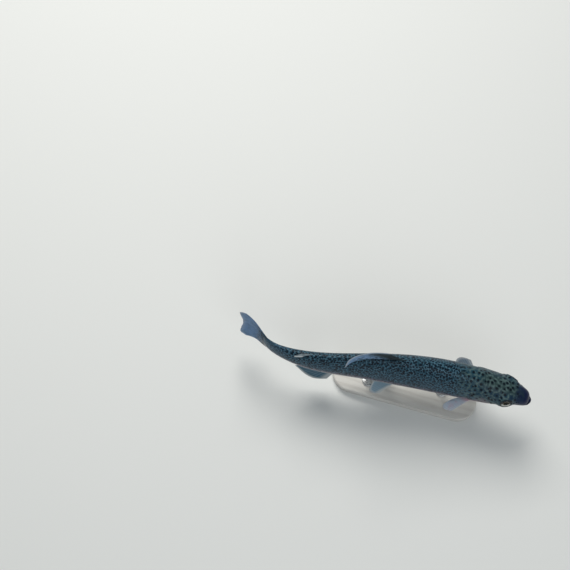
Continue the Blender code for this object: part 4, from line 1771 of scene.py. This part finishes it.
@dataclass
class TailFin(Fin):
    """The tail fin, whose rays fan out from the end of the flesh."""

    root_at: float = 0.884
    root_height: float = 0.0425
    fan: float = 26.0
    fan_crowding: float = 0.85
    lowest_lean: float = 7.0

    def middle(self, u: Array, v: Array) -> Array:
        """Fans the fin's middle surface out from the end of the flesh.

        Args:
            u: Shares of the way from the highest ray to the lowest.
            v: Shares of the way out along a ray.

        Returns:
            Places in spine space on a grid of columns u and rows v.
        """
        lean = np.radians(self.lowest_lean) * np.maximum(2 * u - 1, 0)
        spread = np.radians(self.fan) * np.sign(1 - 2 * u) * np.abs(1 - 2 * u) ** self.fan_crowding
        height = self.root_height * LENGTH * (1 - 2 * u)
        root = np.stack([np.full_like(u, self.root_at * LENGTH), 0 * u, height], -1)
        along = np.stack([np.cos(spread), -np.sin(lean), np.sin(spread)], -1)
        along /= np.linalg.norm(along, axis=-1, keepdims=True)
        reach = even(self.lengths, u) * LENGTH * self.fringe(u)
        return root[:, None, :] + along[:, None, :] * reach[:, None, None] * v[None, :, None]


def middle_fins() -> list[Fin]:
    """Describes the fins of the back, the belly and the tail.

    Returns:
        The dorsal, adipose, anal and tail fins.
    """
    return [
        Fin(
            "dorsal_fin",
            FinFinish(
                "dorsal_finish", web=(0.215, 0.360, 0.560), ray=(0.310, 0.470, 0.690),
                margin_share=0.60, spots=0.95, dark_rays=(3.0, 7.0),
            ),
            (0.084, 0.096, 0.095, 0.091, 0.087, 0.083), rays=13, root=((0.424, 0), (0.546, 0)),
            sweeps=(46, 52, 59, 66, 73, 79), root_leans=(0, 0, 0, -1, -2, -6),
            tip_leans=(0, -2, -4, -9, -22, -52),
        ),
        Fin(
            "adipose_fin",
            FinFinish(
                "adipose_finish", web=(0.160, 0.200, 0.230), ray=(0.170, 0.210, 0.240),
                root_reach=0.22, spots=0.8, through=0.10,
            ),
            (0.036, 0.044, 0.040, 0.026), rays=5, root=((0.724, 0), (0.750, 0)),
            sweeps=(54, 66, 74, 78), root_leans=(-8,) * 4, tip_leans=(-46,) * 4,
            thickness=(0.0026, 0.0010), ridge=0.0, faces_per_ray=6, steps=30,
        ),
        Fin(
            "anal_fin",
            FinFinish(
                "anal_finish", web=(0.065, 0.145, 0.205), ray=(0.150, 0.245, 0.320),
                margin_share=0.75, front_share=0.7,
            ),
            (0.062, 0.080, 0.079, 0.069, 0.057, 0.046), rays=12, root=((0.634, 180), (0.734, 180)),
            out=(0, 0, -1), sweeps=(34, 40, 46, 52, 58, 64), root_leans=(-4,) * 6,
            tip_leans=(-24, -22, -20, -17, -14, -12),
        ),
        TailFin(
            "caudal_fin",
            FinFinish(
                "caudal_finish", web=(0.128, 0.255, 0.450), ray=(0.205, 0.350, 0.570),
                root=(0.030, 0.065, 0.095), root_reach=0.55, pale_root=(0.300, 0.320, 0.340),
                margin_share=0.20, spots=0.95, spot_reach=(0.62, 0.25),
            ),
            (0.114, 0.132, 0.131, 0.125, 0.119, 0.117, 0.119, 0.125, 0.131, 0.132, 0.114),
            rays=22, thickness=(0.0030, 0.00030), faces_per_ray=6,
        ),
    ]


def down(degrees: float) -> Place:
    """The way out of the left side that points so far below level."""
    return (0.0, math.cos(math.radians(degrees)), -math.sin(math.radians(degrees)))


def paired_fins(side: Side) -> list[Fin]:
    """The pectoral and the pelvic fin of one side. The right pectoral fin is swept further back and painted
    paler, as painted light; the left one is painted darker, as painted shade.

    Args:
        side: Which side.

    Returns:
        Both fins.
    """
    word, right = side.name.lower(), side is Side.RIGHT
    return [
        Fin(
            f"pectoral_fin_{word}",
            FinFinish(
                f"pectoral_{word}_finish",
                # Painted light and shade: the right pectoral fin's colours are paler as if lit, and the left
                # one's, root too, are darker as if in shade.
                web=(0.530, 0.620, 0.730) if right else (0.080, 0.125, 0.170),
                ray=(0.900, 0.920, 0.950) if right else (0.220, 0.290, 0.340),
                root=(0.700, 0.420, 0.480) if right else (0.120, 0.110, 0.130),
                root_reach=0.42, margin_share=0.35, front_share=0.3,
            ),
            (0.076, 0.091, 0.092, 0.080, 0.062, 0.043), rays=13, root=((0.182, 123), (0.200, 139)),
            out=down(33), sweeps=(45, 53, 59, 63, 65, 66) if right else (19, 29, 38, 46, 53, 59),
            tip_leans=(0, 2, 4, 6, 8, 10), thickness=(0.0022, 0.00028), side=side, faces_per_ray=7,
        ),
        Fin(
            f"pelvic_fin_{word}",
            FinFinish(
                f"pelvic_{word}_finish", web=(0.250, 0.380, 0.470), ray=(0.390, 0.510, 0.600),
                root=(0.300, 0.350, 0.390), margin_share=0.85, front_share=0.95,
            ),
            (0.066, 0.081, 0.082, 0.071, 0.057, 0.044), rays=10, root=((0.438, 157), (0.464, 168)),
            out=down(38), sweeps=(48, 54, 60, 66, 72, 78) if right else (48, 53, 58, 64, 70, 77),
            tip_leans=(0, 0, 2, 4, 6, 8), thickness=(0.0020, 0.00028), side=side,
        ),
    ]


# Eyes
# -------


@dataclass
class Eye:
    """One eye: the ball with its dished iris and the lens in its pupil, and the clear front over it.

    Sizes are shares of the eyeball's radius.
    """

    side: Side
    finish: EyeFinish = EyeFinish()
    ball: Pair = (0.955, -0.6)  # size, and height under which it is cut away
    cornea: Pair = (1.0, 0.30)
    iris: float = 0.56  # height of its outer edge
    iris_rise: float = 0.06  # towards the pupil
    iris_radius: float = 0.86
    lens: float = 0.50  # height of its edge
    lens_rise: float = 0.30
    lens_radius: float = 0.49
    segments: int = 72
    rings: int = 64

    def dish(self, reach: Array, height: Array) -> Array:
        """Dishes the iris and stands the lens in its pupil.

        Args:
            reach: Distances from the eye's axis.
            height: Heights of the round ball.

        Returns:
            Heights of the finished ball.
        """
        iris = self.iris + self.iris_rise * (1 - reach / self.iris_radius)
        lens = self.lens + self.lens_rise * np.sqrt(np.clip(1 - (reach / self.lens_radius) ** 2, 0, 1))
        front = iris + (lens - iris) * rise(reach, 0.51, 0.47)
        return np.where(height > 0, height + (front - height) * rise(reach, 0.90, 0.84), height)

    def make(self, name: str, scale: float, cap: float, dished: bool) -> Piece:
        """Flattens a unit ball along the eye's axis, cuts it, and sets it in the head.

        Args:
            name: The piece's name.
            scale: Size beside the whole eyeball.
            cap: Height on the unit ball under which it is cut away.
            dished: Whether it has an iris and a lens.

        Returns:
            The piece, without its finish.
        """
        Bench.clear_selection()
        bpy.ops.mesh.primitive_uv_sphere_add(segments=self.segments, ring_count=self.rings, radius=1)
        piece = Bench.named(name)
        with Bench.editing(piece):
            bpy.ops.mesh.bisect(plane_co=(0, 0, cap), plane_no=(0, 0, 1), clear_inner=True, use_fill=True)
        unit = Bench.places(piece)
        axis = EYE.axis(self.side)
        forward = np.array((-1.0, 0.0, 0.0))
        forward -= axis * (forward @ axis)
        forward /= np.linalg.norm(forward)
        upward = np.cross(axis, forward)
        if upward[2] < 0:
            upward = -upward
        reach = np.hypot(unit[:, 0], unit[:, 1])
        height = self.dish(reach, unit[:, 2]) if dished else unit[:, 2]
        spread = unit[:, :1] * forward + unit[:, 1:2] * upward
        points = EYE.centre(self.side) + EYE.radius * scale * (spread + EYE.flatten * height[:, None] * axis)
        way = unit[:, :2] / np.maximum(reach, 1e-6)[:, None]
        Bench.note(piece, "gaze", np.column_stack([reach, way]))
        Bench.shape(piece, FLESH.bend(points))
        Bench.close(piece)
        Bench.soften(piece, 60)
        return piece

    def build(self) -> None:
        """Makes both pieces of the eye and dresses them."""
        word = self.side.name.lower()
        ball = self.make("eyeball_" + word, *self.ball, True)
        cornea = self.make("cornea_" + word, *self.cornea, False)
        self.finish.dress(ball, cornea)
        Bench.mount(ball, "eye", f"eye_{word}")
        Bench.mount(cornea, "eye")


# Stand
# -------


@dataclass
class Base:
    """A flat timber base with round ends and eased edges. Sizes are in metres."""

    name: str = "timber_base"
    node: str = "stand_base"
    sides: int = 128
    top_edge: float = 0.0022
    foot_edge: float = 0.0008
    edge_steps: tuple[int, int] = (6, 2)

    def build(self) -> None:
        """Draws a round block out into a long one, eases its edges and dresses it."""
        low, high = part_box(self.node)
        width, height = high.y - low.y, high.z - low.z
        pull = (high.x - low.x - width) / 2
        centre = (low + high) / 2
        half_side = (0, 0, math.pi / self.sides)
        Bench.clear_selection()
        bpy.ops.mesh.primitive_cylinder_add(
            vertices=self.sides, radius=width / 2, depth=height, location=centre, rotation=half_side
        )
        piece = Bench.named(self.name)
        Bench.settle(piece)
        with Bench.editing(piece):
            for way in (1, -1):
                Bench.select(piece, Element.VERT, lambda co: way * (co.x - centre.x) > 0)
                bpy.ops.transform.translate(value=(way * pull, 0, 0))
            for level, size, steps in zip((high.z, low.z), (self.top_edge, self.foot_edge), self.edge_steps):
                Bench.select(piece, Element.EDGE, lambda co: abs(co.z - level) < 1e-5)
                bpy.ops.mesh.bevel(offset=size, segments=steps, profile=0.5, affect="EDGES")
        Bench.settle(piece)
        Bench.soften(piece, 35)
        TimberFinish().dress(piece)
        Bench.mount(piece, "base", self.node)


@dataclass
class Rod:
    """A turned steel rod with a stepped foot below and a thin collar under the belly. Sizes are in metres."""

    node: str
    sides: int = 64
    radius: float = 0.0032
    foot_radius: float = 0.0085
    foot_height: float = 0.0018
    foot_sinks: float = 0.0003
    foot_steps: Table = ((0.93, 0.0004), (0.62, 0.0006), (0.58, 0.0018))  # share of its radius, height
    neck_steps: Table = ((1.12, 0.0021), (1.00, 0.0026))  # share of the rod's radius, height over the foot
    collar_steps: Table = ((1.00, 0.0), (1.35, 0.0004), (1.35, 0.0012))  # the same, over the collar's foot
    collar_drop: float = 0.0022  # of the collar's foot under the belly
    tip_share: float = 0.9
    into_belly: float = 0.0012

    def profile(self, foot: float, top: float) -> list[Pair]:
        """Lists the rings from the foot up.

        Args:
            foot: Height of the top of the foot.
            top: Height at which the solid rod ends.

        Returns:
            Radius and height of each ring.
        """
        rings = [(self.foot_radius * share, foot + up) for share, up in self.foot_steps]
        rings += [(self.radius * share, foot + up) for share, up in self.neck_steps]
        rings += [(self.radius * share, top - self.collar_drop + up) for share, up in self.collar_steps]
        return rings + [(self.radius * self.tip_share, top + self.into_belly)]

    def build(self) -> None:
        """Draws the rod up out of its foot, ring by ring, and dresses it."""
        low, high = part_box(self.node)
        x, y = (low.x + high.x) / 2, (low.y + high.y) / 2
        level, last = low.z - self.foot_sinks + self.foot_height, self.foot_radius
        middle = (x, y, level - self.foot_height / 2)
        Bench.clear_selection()
        bpy.ops.mesh.primitive_cylinder_add(
            vertices=self.sides, radius=last, depth=self.foot_height, location=middle
        )
        piece = Bench.named(self.node.replace("stand_", "steel_"))
        Bench.settle(piece)
        with Bench.editing(piece):
            for radius, z in self.profile(level, high.z):
                Bench.select(piece, Element.FACE, lambda co: abs(co.z - level) < 1e-6)
                bpy.ops.mesh.extrude_region_move(TRANSFORM_OT_translate={"value": (0, 0, z - level)})
                share = radius / last
                bpy.ops.transform.resize(value=(share, share, 1), center_override=(x, y, z))
                level, last = z, radius
            Bench.face_out()
        Bench.settle(piece)
        Bench.soften(piece, 30)
        SteelFinish().dress(piece)
        Bench.mount(piece, "rod", self.node)


# Studio
# -------


@dataclass(frozen=True)
class Lamp:
    """One soft square lamp that faces the fish."""

    name: str
    place: Place  # in metres
    size: float  # length of its side, in metres
    power: float  # in watts
    colour: Colour
    target: Place = (0.0, 0.0, 0.07)

    def hang(self) -> None:
        """Hangs the lamp."""
        light = bpy.data.lights.new(self.name, "AREA")
        light.shape = "SQUARE"
        light.size = self.size
        light.energy = self.power
        light.color = self.colour
        lamp = bpy.data.objects.new(self.name, light)
        bpy.context.scene.collection.objects.link(lamp)
        lamp.location = self.place
        lamp.rotation_euler = (Vector(self.target) - Vector(self.place)).to_track_quat("-Z", "Y").to_euler()


@dataclass
class Studio:
    """A plain pale floor, soft lights and the camera."""

    lens: float = 70.0  # in millimetres, as is the sensor
    sensor: float = 36.0
    view_range: Pair = (0.05, 60.0)
    camera_place: Place = (-0.00521, -0.45811, 1.46754)
    azimuth: float = 16.0
    elevation: float = 68.8
    floor_radius: float = 9.0
    sky: Colour = (0.72, 0.78, 0.82)
    sky_strength: float = 0.34
    lamps: tuple[Lamp, ...] = (
        Lamp("key_lamp", (-0.75, 1.15, 1.75), 1.3, 38.0, (1.0, 0.985, 0.95)),
        Lamp("fill_lamp", (0.95, -1.50, 1.30), 1.6, 12.0, (0.92, 0.96, 1.0)),
    )

    def floor(self) -> None:
        """Lays a wide round floor."""
        Bench.clear_selection()
        bpy.ops.mesh.primitive_circle_add(vertices=96, radius=self.floor_radius, fill_type="NGON")
        piece = Bench.named("studio_floor")
        FloorFinish().dress(piece)

    def lights(self) -> None:
        """Hangs the lamps and sets the light of the room."""
        for lamp in self.lamps:
            lamp.hang()
        world = bpy.data.worlds.new("room")
        world.use_nodes = True
        sky = world.node_tree.nodes["Background"]
        sky.inputs["Color"].default_value = (*self.sky, 1.0)
        sky.inputs["Strength"].default_value = self.sky_strength
        bpy.context.scene.world = world

    def camera(self) -> None:
        """Sets the camera over the fish, level from side to side."""
        lens = bpy.data.cameras.new("camera")
        lens.lens = self.lens
        lens.sensor_width = self.sensor
        lens.clip_start, lens.clip_end = self.view_range
        camera = bpy.data.objects.new("camera", lens)
        bpy.context.scene.collection.objects.link(camera)
        camera.location = self.camera_place
        camera.rotation_euler = (math.radians(90 - self.elevation), 0.0, math.radians(self.azimuth))
        bpy.context.scene.camera = camera

    def build(self) -> None:
        """Sets up the whole studio, with colours shown as they are."""
        self.floor()
        self.lights()
        self.camera()
        view = bpy.context.scene.view_settings
        view.view_transform = "Standard"
        view.look = "None"
        view.exposure = 0.0


def main() -> None:
    """Builds the fish, its stand and the studio."""
    skin = Skin().build()
    coat = Scales().build()
    SkinFinish().dress(skin, *coat)
    for fin in [*middle_fins(), *paired_fins(Side.LEFT), *paired_fins(Side.RIGHT)]:
        fin.build()
    for side in Side:
        Eye(side).build()
    Base().build()
    for node in ("stand_rod_front", "stand_rod_rear"):
        Rod(node).build()
    Studio().build()


if __name__ == "__main__":
    main()
